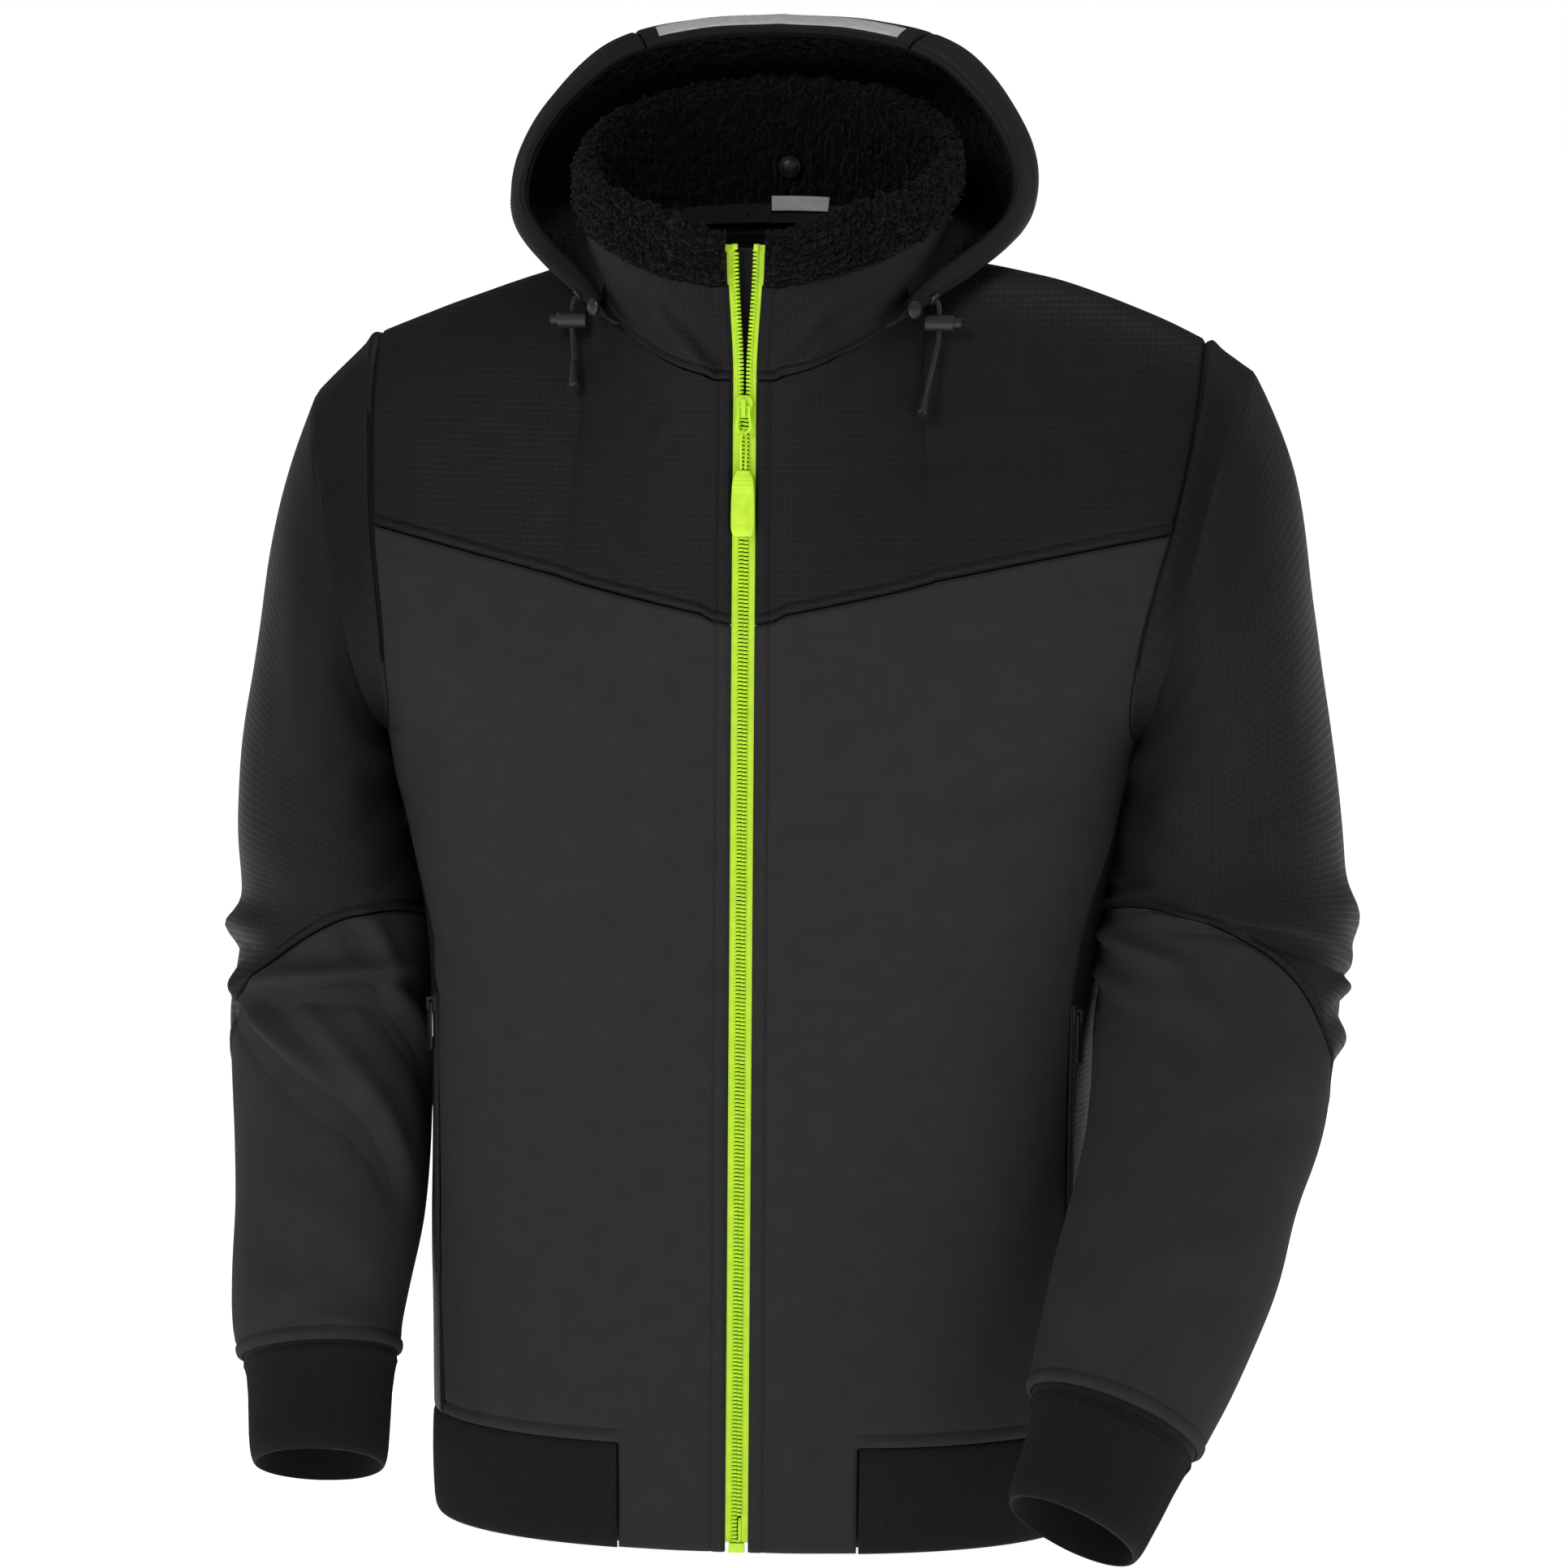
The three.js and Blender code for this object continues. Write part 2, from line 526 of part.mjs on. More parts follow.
function armRing(side, at, turn, out) {
  const ring = ARM[side](at);
  const tilt = degToRad(ring.tilt);
  const pitch = degToRad(ring.pitch);
  const outward = point(side * Math.cos(tilt), 0, Math.sin(tilt));
  const forward = point(0, -Math.cos(pitch), Math.sin(pitch));
  return point(side * ring.x, ring.y, ring.z)
    .addScaledVector(forward, (ring.deep + out) * Math.cos(turn))
    .addScaledVector(outward, (ring.across + out) * Math.sin(turn));
}

function sleeve(side, at, turn, out) {
  if (at >= 1) return armRing(side, at, turn, out);
  return armholePoint(side, turn, out).lerp(armRing(side, 1, turn, out), at);
}

// The elbow seam dips on the outer, back side of the arm and rises on the inner, front side.
const elbowSeam = (turn) => 6.75 + 1.15 * Math.sin(turn - degToRad(35));

function sleevePart(side, from, to, rows, outer, inner) {
  const atRow = (turn, j) => lerp(from(turn), to(turn), j / rows);
  const pairAt = (i, j) => {
    const turn = ringTurn(i);
    return [outer, inner].map((out) => sleeve(side, atRow(turn, j), turn, out));
  };
  return clothShell(RING_POINTS, rows, pairAt, { closed: true });
}

for (const [name, side] of SIDES) {
  const upper = sleevePart(side, () => 0, (turn) => elbowSeam(turn) - SLEEVE_SEAM_GAP, 8, SHELL, 0);
  const lower = sleevePart(side, elbowSeam, () => SEAM_STATION, 7, SHELL, 0);
  const cuff = sleevePart(side, () => CUFF_START, () => CUFF_END, 3, 2.5, -0.5);
  const liningEnd = () => SEAM_STATION - 0.1;
  const inside = sleevePart(side, () => 1.2, liningEnd, 9, SLEEVE_LINING_OUT, SLEEVE_LINING_IN);
  add(`upper_sleeve_${name}`, upper, ripstop);
  add(`forearm_${name}`, lower, softshell);
  add(`cuff_rib_${name}`, cuff, ribKnit);
  add(`sleeve_lining_${name}`, inside, liningFleece);
}

// ---- Collar ----

// turn runs from 0 at the centre front to 180 degrees at the centre back; up runs from 0 to 1.
function collarSkin(side, turn, up) {
  const face = turn < Math.PI / 2 ? FRONT : BACK;
  const base = neckBase(side, face, face === FRONT ? turn : Math.PI - turn);
  const z = COLLAR_TOP - COLLAR_TOP_RISE * Math.cos(turn);
  const front = -frontDepth(COLLAR_TOP - COLLAR_TOP_RISE);
  const y = RIDGE + Math.cos(turn) * (face === FRONT ? front - RIDGE : RIDGE - COLLAR_BACK);
  const top = point(side * COLLAR_HALF_WIDTH * Math.sin(turn), y, z);
  const bulge = COLLAR_BULGE * Math.sin(Math.PI * clamp(up, 0, 1)) * Math.sin(turn);
  return base.lerp(top, up).add(point(side * bulge * Math.sin(turn), -bulge * Math.cos(turn), 0));
}

function collar(side, turn, up, out) {
  const skin = (u, v) => collarSkin(side, u, v);
  const reach = { u: 0.02, uMin: 0, uMax: Math.PI, v: 0.03, vMin: 0, vMax: 1 };
  return offsetPoint(skin, turn, up, reach, out, awayFrom((p) => point(0, -10, p.z)));
}

function collarStrip(side, x, up, out) {
  const z = lerp(NECK_FRONT_HEIGHT, COLLAR_TOP - COLLAR_TOP_RISE, up);
  return point(side * x, -frontDepth(z) - out, z);
}

// Columns go round from the wearer's right front edge to the left one.
const COLLAR_DEGREES = [22, 34, 48, 62, 76, 90, 105, 120, 135, 150, 165];
const COLLAR_COLUMNS = [0, 1, ...COLLAR_DEGREES, 180, ...[...COLLAR_DEGREES].reverse(), 1, 0];

function collarPoint(column, up, out, edge = ZIP_EDGE) {
  const side = column < COLLAR_COLUMNS.length / 2 ? RIGHT : LEFT;
  const degrees = COLLAR_COLUMNS[column];
  if (degrees < 2) return collarStrip(side, [edge, FLAT_EDGE][degrees], up, out);
  return collar(side, degToRad(degrees), up, out);
}

// A band round the collar, whose section is a list of [up, out] pairs: outer point, inner point.
function collarBand(section, edge) {
  const pairAt = (i, j) => section[j].map(([up, out]) => collarPoint(i, up, out, edge));
  return clothShell(COLLAR_COLUMNS.length - 1, section.length - 1, pairAt);
}

const COLLAR_START = 0.1;
const OUTER_RIPSTOP = [0, 1, 2, 3].map((k) => {
  const up = lerp(COLLAR_START, 0.6, k / 3);
  return [[up, SHELL], [up, 0]];
});
const SHERPA_WRAP = [
  [[COLLAR_START, -5.5], [COLLAR_START, -2.2]],
  [[0.35, -6.5], [0.35, -2.2]],
  [[0.7, -6.5], [0.7, -2.2]],
  [[0.99, -5], [0.94, -2.2]],
  [[1.05, -1.2], [0.965, -0.9]],
  [[1.0, 4], [0.94, 0.6]],
  [[0.8, 4.6], [0.8, 0.6]],
  [[0.63, 3.6], [0.63, 0.6]],
];
add("collar_outer", collarBand(OUTER_RIPSTOP, ZIP_EDGE), ripstop);
add("collar_sherpa", collarBand(SHERPA_WRAP, LINING_EDGE), sherpa);

// ---- Neck tape and blank label, inside the back of the neck ----

function insideBand(fromDegrees, columns, lowUp, highUp, outer, inner) {
  const pairAt = (i, j) => {
    const degrees = lerp(fromDegrees, 360 - fromDegrees, i / columns);
    const side = degrees < 180 ? RIGHT : LEFT;
    const turn = degToRad(degrees < 180 ? degrees : 360 - degrees);
    return [outer, inner].map((out) => collar(side, turn, j ? highUp : lowUp, out));
  };
  return clothShell(columns, 1, pairAt);
}

add("neck_tape", insideBand(100, 16, 0.07, 0.2, -7.4, -8.8), blackTape);
add("neck_label", insideBand(169, 4, 0.23, 0.33, -7.6, -8.4), greyTape);

// ---- Hood: folded open behind the collar and held up by its own stiffness ----

// Half of the rim from the top centre round to the front tab; at is the share of the way round.
const HOOD_RIM = smoothStations([
  { at: 0, x: 0, y: 50, z: 848 },
  { at: 0.16, x: 45, y: 49, z: 846 },
  { at: 0.32, x: 90, y: 44, z: 836 },
  { at: 0.45, x: 122, y: 33, z: 814 },
  { at: 0.56, x: 141, y: 19, z: 790 },
  { at: 0.65, x: 146, y: 6, z: 768 },
  { at: 0.73, x: 140, y: -8, z: 753 },
  { at: 0.81, x: 124, y: -24, z: 739 },
  { at: 0.88, x: 108, y: -40, z: 727 },
  { at: 0.94, x: 96, y: -54, z: 717 },
  { at: 1, x: 86, y: -68, z: 706 },
], ["x", "y", "z"]);
// How far the hood swells away from the neck: low is near the seam, high is near the rim.
const HOOD_SWELL = smoothStations([
  { at: 0, lowOut: 80, lowDrop: 18, highX: 0, highY: 104, highZ: 48 },
  { at: 0.3, lowOut: 80, lowDrop: 14, highX: 30, highY: 90, highZ: 42 },
  { at: 0.5, lowOut: 62, lowDrop: 6, highX: 34, highY: 58, highZ: 12 },
  { at: 0.65, lowOut: 50, lowDrop: 2, highX: 18, highY: 22, highZ: -6 },
  { at: 0.8, lowOut: 28, lowDrop: 0, highX: 9, highY: 2, highZ: -10 },
  { at: 1, lowOut: 6, lowDrop: 0, highX: 4, highY: -2, highZ: -5 },
], ["lowOut", "lowDrop", "highX", "highY", "highZ"]);
const HOOD_REACH = 132; // degrees round the neck from the centre back to the end of a front tab
const HOOD_STANDOFF = 8;
const HOOD_CENTRE_SHARE = 0.27; // half width of the centre panel
const HOOD_FACING_FROM = 0.87; // how far up the section the rim facing starts

// round runs from -1 at the wearer's right tab to 1 at the left one; up runs from the seam to the rim.
function hoodSkin(round, up) {
  const side = round < 0 ? RIGHT : LEFT;
  const at = Math.min(Math.abs(round), 1);
  const turn = Math.PI - degToRad(HOOD_REACH * at);
  const face = turn < Math.PI / 2 ? FRONT : BACK;
  const outward = point(side * Math.sin(turn), -Math.cos(turn), 0);
  const seam = neckBase(side, face, face === FRONT ? turn : Math.PI - turn);
  seam.addScaledVector(outward, HOOD_STANDOFF).setZ(seam.z + 7);
  const rim = HOOD_RIM(at);
  const swell = HOOD_SWELL(at);
  const low = seam.clone().addScaledVector(outward, swell.lowOut).setZ(seam.z - swell.lowDrop);
  const high = point(side * (rim.x + swell.highX), rim.y + swell.highY, rim.z + swell.highZ);
  const curve = new THREE.CubicBezierCurve3(seam, low, high, point(side * rim.x, rim.y, rim.z));
  return curve.getPoint(up);
}

function hood(round, up, out) {
  const reach = { u: 0.02, uMin: -1, uMax: 1, v: 0.03, vMin: 0, vMax: 1 };
  return offsetPoint(hoodSkin, round, up, reach, out, () => false); // across and up make an inward normal
}

function hoodPart(from, to, columns, lowUp, highUp, rows, outer, inner) {
  const pairAt = (i, j) => {
    const round = lerp(from, to, i / columns);
    return [outer, inner].map((out) => hood(round, lerp(lowUp, highUp, j / rows), out));
  };
  return clothShell(columns, rows, pairAt);
}

const HOOD_SEAM = 0.004;
add("hood_centre_panel", hoodPart(-HOOD_CENTRE_SHARE, HOOD_CENTRE_SHARE, 8, 0, 1, 9, SHELL, 0), ripstop);
for (const [name, side] of SIDES) {
  const near = side * (HOOD_CENTRE_SHARE + HOOD_SEAM);
  add(`hood_side_${name}`, hoodPart(near, side, 12, 0, 1, 9, SHELL, 0), ripstop);
}
add("hood_lining", hoodPart(-0.84, 0.84, 22, 0.05, HOOD_FACING_FROM - 0.01, 6, -3.2, -4.8), sherpa);
add("hood_facing", hoodPart(-0.985, 0.985, 30, HOOD_FACING_FROM, 0.995, 2, -1.6, -3.4), blackTape);
add("hood_reflective_strip", hoodPart(-0.24, 0.24, 8, 0.93, 0.985, 1, 3.3, 2.6), greyTape);

// ---- Fixings on the hood tabs: snaps and cord eyelets ----

// A ring or a cap turned about the cloth's normal at a point of the hood.
function onHood(name, profile, round, up, out, material, segments = 16) {
  const base = hood(round, up, out);
  const normal = hood(round, up, out + 1).sub(base).normalize();
  const mesh = add(name, new THREE.LatheGeometry(profile, segments), material);
  mesh.position.copy(base);
  mesh.quaternion.setFromUnitVectors(point(0, 1, 0), normal);
  return mesh;
}

const snapCap = profileOf([[0, 0], [5, 0], [5, 0.8], [3.6, 1.7], [0, 2.1]]);
const eyeletRing = profileOf([[2.1, 0], [4, 0], [4, 0.5], [3.2, 1], [2.1, 1], [2.1, 0]]);
const CORD_EXIT_ROUND = 0.91;
const CORD_EXIT_UP = 0.4;
for (const [name, side] of SIDES) {
  onHood(`hood_snap_${name}`, snapCap, side * 0.965, 0.42, SHELL + 0.6, gunmetal);
  onHood(`cord_eyelet_${name}`, eyeletRing, side * CORD_EXIT_ROUND, CORD_EXIT_UP, SHELL + 0.5, gunmetal, 14);
}

// ---- Main zip, built along its own straight line: local Z runs up it and local -Y faces out ----

const zip = new THREE.Group();
zip.position.set(0, -FRONT_FOOT, 0);
zip.rotation.x = -Math.atan(ZIP_LEAN);
coat.add(zip);

const TOOTH_MIDDLE = TOOTH_ROW_GAP + TOOTH_ROW_WIDTH / 2;
const PIN_TOP = 20;
for (const [name, side] of SIDES) {
  const rowFoot = side === LEFT ? PIN_TOP : ZIP_FOOT;
  const tapeHeight = ZIP_TOP - ZIP_FOOT;
  const tapeX = side * (TAPE_START + TAPE_WIDTH / 2);
  const tape = box(TAPE_WIDTH, TAPE_THICKNESS, tapeHeight, tapeX, -TAPE_DEPTH, ZIP_FOOT + tapeHeight / 2);
  const rowHeight = ZIP_TOP - rowFoot;
  const rowX = side * TOOTH_MIDDLE;
  const row = box(TOOTH_ROW_WIDTH, TOOTH_THICKNESS, rowHeight, rowX, -TAPE_DEPTH, rowFoot + rowHeight / 2);
  const topStop = box(2.6, 3.6, 2.6, rowX, -TAPE_DEPTH, ZIP_TOP - 0.6);
  const pinHeight = PIN_TOP - ZIP_FOOT + 0.5;
  const pin = box(2, 2.2, pinHeight, side * (TOOTH_MIDDLE - 0.1), -TAPE_DEPTH, ZIP_FOOT + pinHeight / 2);
  const pieces = side === LEFT ? [tape, row, topStop, pin] : [tape, row, topStop];
  add(`zip_tape_${name}`, joined(...pieces), neonTape, zip);
}
const boxOutline = new THREE.Shape();
boxOutline.moveTo(-4.6, 0.4).lineTo(4.6, 0.4).lineTo(4.2, 5.6).lineTo(-4.2, 5.6).closePath();
const retainer = add("zip_retainer_box", plate(boxOutline, 4.4), neonPlastic, zip);
retainer.position.set(0, -TAPE_DEPTH, 0);

// A strip of rib tape behind the whole zip keeps the wind out.
add("zip_guard", box(28, 1.3, ZIP_TOP - 8, 0, 8.2, ZIP_TOP / 2 + 2), blackTape, zip);

// Slider: two plates joined by a post that runs between the tooth rows, and a bridge for the pull.
const PLATE_OUT = 0.95;
const PLATE_THICKNESS = 1.5;
const BRIDGE_HEIGHT = 4;
const sliderOutline = new THREE.Shape();
sliderOutline.moveTo(-3.4, -6.2).lineTo(3.4, -6.2).quadraticCurveTo(3.8, -3, 4.9, 1.5);
sliderOutline.quadraticCurveTo(5.1, 6.2, 0, 6.4).quadraticCurveTo(-5.1, 6.2, -4.9, 1.5);
sliderOutline.quadraticCurveTo(-3.8, -3, -3.4, -6.2);
const slider = new THREE.Group();
slider.position.z = SLIDER_HEIGHT;
zip.add(slider);
const frontPlate = plate(sliderOutline, PLATE_THICKNESS).translate(0, -PLATE_OUT - PLATE_THICKNESS / 2, 0);
const backPlate = plate(sliderOutline, 1.4).translate(0, 3.4, 0);
const post = box(0.7, 5.6, 3.6, 0, 0.9, 3.2);
const bridgeFoot = PLATE_OUT + PLATE_THICKNESS;
const bridge = cut(
  box(2.2, BRIDGE_HEIGHT + 0.4, 9.4, 0, -bridgeFoot - BRIDGE_HEIGHT / 2 + 0.2, -0.4),
  box(4, 2.6, 6.6, 0, -bridgeFoot - 1.5, -0.4),
);
add("zip_slider", joined(frontPlate, backPlate, post, bridge), neonPlastic, slider);

// The wishbone link swings on the bridge; the cord loop and its tab swing on the link's lower bar.
const LINK_OUT = bridgeFoot + 1.5;
const LINK_LENGTH = 15;
const LOOP_LENGTH = 20;
const TAB_LENGTH = 37;
const linkShape = new THREE.Shape();
linkShape.moveTo(-3.4, 0.6).lineTo(3.4, 0.6).quadraticCurveTo(3.6, -6, 4.6, -10);
linkShape.quadraticCurveTo(4.4, -LINK_LENGTH, 0, -LINK_LENGTH - 0.3);
linkShape.quadraticCurveTo(-4.4, -LINK_LENGTH, -4.6, -10).quadraticCurveTo(-3.6, -6, -3.4, 0.6);
const linkHole = new THREE.Path();
linkHole.moveTo(-2.2, -0.6).quadraticCurveTo(-2.3, -6, -3.2, -10).quadraticCurveTo(-2.9, -13.7, 0, -13.8);
linkHole.quadraticCurveTo(2.9, -13.7, 3.2, -10).quadraticCurveTo(2.3, -6, 2.2, -0.6).closePath();
linkShape.holes.push(linkHole);
const link = add("zip_pull_link", plate(linkShape, 1.2), neonPlastic, slider);
link.position.set(0, -LINK_OUT, 0);

const loopPath = [
  [-1.3, 4.2, -LOOP_LENGTH - 15], [-1.4, 4.9, -27], [-1.3, 5.9, -18.5], [-0.8, 5.8, -14.6], [0, 4.2, -12.2],
  [0.8, 2.2, -14.4], [1.3, 2.1, -18.5], [1.4, 3.3, -27], [1.3, 4.2, -LOOP_LENGTH - 15],
].map(([x, out, z]) => point(x, -out, z));
add("zip_pull_loop", tube(loopPath, 0.75, 8, 28), neonPlastic, slider);

const TAB_TOP = -LOOP_LENGTH - 15.4;
const tabShape = new THREE.Shape();
tabShape.moveTo(-3.6, TAB_TOP).lineTo(3.6, TAB_TOP).quadraticCurveTo(6, TAB_TOP - 2, 6.4, TAB_TOP - 10);
const TAB_FOOT = TAB_TOP - TAB_LENGTH;
tabShape.lineTo(6.8, TAB_FOOT + 5).quadraticCurveTo(6.6, TAB_FOOT, 0, TAB_FOOT);
tabShape.quadraticCurveTo(-6.6, TAB_FOOT, -6.8, TAB_FOOT + 5);
tabShape.lineTo(-6.4, TAB_TOP - 10).quadraticCurveTo(-6, TAB_TOP - 2, -3.6, TAB_TOP);
add("zip_pull_tab", plate(tabShape, 3.2), neonPlastic, slider).position.set(0, -4.6, 0);

// ---- Hand pockets on the front seams: zip, slider, pull and the bag behind it ----

const POCKET_LOW = 140;
const POCKET_HIGH = 306;
const POCKET_OUT = 2.5;

function pocketBag(side) {
  const columns = 6;
  const pairAt = (i, j) => {
    const angle = degToRad(lerp(24, 64, i / columns));
    return [-7.6, -8.8].map((out) => torso(side, FRONT, angle, lerp(95, 300, j / 5), out));
  };
  return clothShell(columns, 5, pairAt);
}

for (const [name, side] of SIDES) {
  const seam = torso(side, FRONT, degToRad(SIDE_SEAM_ANGLE), POCKET_HIGH, 0);
  const foot = torso(side, FRONT, degToRad(SIDE_SEAM_ANGLE), POCKET_LOW, 0);
  const normal = torso(side, FRONT, degToRad(SIDE_SEAM_ANGLE), POCKET_HIGH, 1).sub(seam);
  const pocket = new THREE.Group();
  pocket.position.copy(seam);
  const inward = normal.clone().negate().setZ(0).normalize();
  const up = seam.clone().sub(foot).normalize();
  const turned = new THREE.Matrix4().makeBasis(inward.clone().cross(up), inward, up);
  pocket.quaternion.setFromRotationMatrix(turned);
  coat.add(pocket);
  const reach = POCKET_HIGH - POCKET_LOW;
  add(`pocket_zip_${name}`, box(7, 1.2, reach, 0, -POCKET_OUT - 1.1, -reach / 2), blackTape, pocket);
  const sliderBody = joined(
    box(6.4, 1.5, 9, 0, -POCKET_OUT - 2.9, -6),
    cut(box(2, 3.4, 7, 0, -POCKET_OUT - 5, -6), box(3, 1.8, 4.4, 0, -POCKET_OUT - 4.9, -6)),
  );
  add(`pocket_slider_${name}`, sliderBody, gunmetal, pocket);
  const pullShape = new THREE.Shape();
  pullShape.moveTo(-2.6, 0.5).lineTo(2.6, 0.5).lineTo(3, -26).quadraticCurveTo(0, -29, -3, -26).closePath();
  const pullHole = new THREE.Path();
  pullHole.moveTo(-1.5, -0.5).lineTo(-1.5, -5.5).lineTo(1.5, -5.5).lineTo(1.5, -0.5).closePath();
  pullShape.holes.push(pullHole);
  const pull = add(`pocket_pull_${name}`, plate(pullShape, 1.1), blackPlastic, pocket);
  pull.position.set(0, -POCKET_OUT - 4.9, -6);
  add(`pocket_bag_${name}`, pocketBag(side), liningFleece);
}

// ---- Hood drawcords, each with a sprung lock and a moulded end ----

// Routes for the wearer's left, as [x, y, z]; the right cord is a shorter mirror image of it.
const CORD_RADIUS = 1.25;
const CORD_START = [
  [101.5, -60.1, 706.2], [102.5, -60.6, 705.5], [103.4, -61.1, 704.2], [104, -61.5, 702.3],
  [104.2, -61.8, 700], [104.2, -62, 697.5], [104.2, -62, 695], [104.2, -62, 692.4],
  [104.2, -62.1, 689.8], [104.1, -62.4, 687], [103.8, -63.3, 683.6], [103.3, -64.9, 679.9],
  [102.7, -67, 676.2],
];
const CORD_LAST = {
  [RIGHT]: [[102.3, -68.9, 673], [102, -70.6, 670]],
  [LEFT]: [
    [102, -69.4, 672.4], [101.3, -72.2, 668.4], [100.5, -75, 664.4],
    [99.7, -77.6, 660.5], [99.1, -79.9, 656.9],
  ],
};
const LOCK_PLACE = point(104.2, -62, 693.2);
const LOCK_HALF = 8.5;
const PLUNGER_OUT = 12.5;

const lathed = (pairs, segments = 20) =>
  new THREE.LatheGeometry(profileOf(pairs), segments).rotateZ(-Math.PI / 2);

function cordLock(side) {
  const lock = new THREE.Group();
  lock.position.set(side * LOCK_PLACE.x, LOCK_PLACE.y, LOCK_PLACE.z);
  if (side === RIGHT) lock.rotation.z = Math.PI;
  coat.add(lock);
  const barrel = lathed([
    [0, -LOCK_HALF], [4.1, -LOCK_HALF], [4.8, -LOCK_HALF + 0.7], [4.8, LOCK_HALF - 0.7],
    [4.1, LOCK_HALF], [3.4, LOCK_HALF], [3.4, -6.2], [0, -6.2],
  ]);
  const cordHole = new THREE.CylinderGeometry(1.95, 1.95, 12, 16).rotateX(Math.PI / 2);
  const plunger = lathed([
    [0, -3.6], [3.05, -3.6], [3.05, PLUNGER_OUT - 0.8], [2.5, PLUNGER_OUT], [0, PLUNGER_OUT],
  ]);
  const slot = box(6.1, 3.9, 8, 1.1, 0, 0);
  return { lock, body: cut(barrel, cordHole), plunger: cut(plunger, slot) };
}

for (const [name, side] of SIDES) {
  const route = [...CORD_START, ...CORD_LAST[side]].map(([x, y, z]) => point(side * x, y, z));
  add(`drawcord_${name}`, tube(route, CORD_RADIUS, 8, 16), blackTape);
  const { lock, body, plunger } = cordLock(side);
  add(`cord_lock_${name}`, body, gunmetal, lock);
  add(`lock_plunger_${name}`, plunger, blackPlastic, lock);
  const profile = [[0, 0], [1.9, 0], [2.3, -3], [3.4, -15], [2.9, -16.4], [0, -16.4]].reverse();
  const end = new THREE.LatheGeometry(profileOf(profile), 12);
  const endPiece = add(`cord_end_${name}`, end, gunmetal);
  const last = route.at(-1);
  const heading = last.clone().sub(route.at(-2)).normalize();
  endPiece.position.copy(last).addScaledVector(heading, 0.3);
  endPiece.quaternion.setFromUnitVectors(point(0, -1, 0), heading);
}

export default coat;
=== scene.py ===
"""A hooded softshell work jacket, size L, standing as if it were worn. Lengths in the functions are
millimetres above the hem; every mesh is written in metres in the part's own frame."""

import math

import bpy
import numpy as np
from mathutils import Matrix, Vector


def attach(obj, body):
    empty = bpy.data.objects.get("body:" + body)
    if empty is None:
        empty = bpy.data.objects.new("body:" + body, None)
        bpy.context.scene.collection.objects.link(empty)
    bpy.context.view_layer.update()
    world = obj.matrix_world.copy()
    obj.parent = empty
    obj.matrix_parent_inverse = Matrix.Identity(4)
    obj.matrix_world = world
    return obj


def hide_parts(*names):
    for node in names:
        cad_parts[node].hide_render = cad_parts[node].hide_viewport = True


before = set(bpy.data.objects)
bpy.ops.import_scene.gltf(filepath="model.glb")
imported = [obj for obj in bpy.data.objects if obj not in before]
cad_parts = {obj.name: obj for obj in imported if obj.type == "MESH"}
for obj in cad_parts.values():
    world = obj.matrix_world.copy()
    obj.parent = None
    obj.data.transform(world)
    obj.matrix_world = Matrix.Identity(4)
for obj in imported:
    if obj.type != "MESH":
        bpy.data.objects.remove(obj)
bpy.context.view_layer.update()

NECK_HEIGHT = 700.0
UNDERARM = 455.0
SHOULDER = 680.0
FRONT, BACK, RIGHT, LEFT = -1, 1, -1, 1
SIDES = (("right", RIGHT), ("left", LEFT))
SHELL = 2.0
LINING_OUT, LINING_IN = -4.2, -5.8


def lerp(a, b, t):
    return a + (b - a) * t


def smoothstep(x, low, high):
    t = np.clip((x - low) / (high - low), 0, 1)
    return t * t * (3 - 2 * t)


def unit(v):
    return v / np.maximum(np.linalg.norm(v, axis=-1, keepdims=True), 1e-9)


def stack(x, y, z):
    return np.stack(np.broadcast_arrays(x, y, z), axis=-1).astype(float)


def smooth_through(stations):
    """A smooth curve through (position, value) stations, for arrays."""
    xs = np.array([s[0] for s in stations], float)
    ys = np.array([s[1] for s in stations], float)
    last = len(xs) - 1
    low = np.maximum(np.arange(last + 1) - 1, 0)
    high = np.minimum(np.arange(last + 1) + 1, last)
    slopes = (ys[high] - ys[low]) / (xs[high] - xs[low])

    def value(at):
        at = np.asarray(at, float)
        k = np.clip(np.searchsorted(xs, at, side="right") - 1, 0, last - 1)
        span = xs[k + 1] - xs[k]
        u = np.clip((at - xs[k]) / span, 0, 1)
        start = u * (1 - u) ** 2 * span * slopes[k]
        end = u * u * (u - 1) * span * slopes[k + 1]
        return ys[k] + (ys[k + 1] - ys[k]) * u * u * (3 - 2 * u) + start + end

    return value


# ---- Folds and creases ----


def hashed(ix, iy, seed):
    """A repeatable pseudo-random number from 0 to 1 for each pair of whole numbers."""
    h = np.sin(ix * 127.1 + iy * 311.7 + seed * 74.7) * 43758.5453
    return h - np.floor(h)


def noise(x, y, seed=0):
    """Smooth value noise from -1 to 1 with one cell per unit."""
    ix, iy = np.floor(x), np.floor(y)
    fx, fy = x - ix, y - iy
    fx, fy = fx * fx * (3 - 2 * fx), fy * fy * (3 - 2 * fy)
    a = lerp(hashed(ix, iy, seed), hashed(ix + 1, iy, seed), fx)
    b = lerp(hashed(ix, iy + 1, seed), hashed(ix + 1, iy + 1, seed), fx)
    return lerp(a, b, fy) * 2 - 1


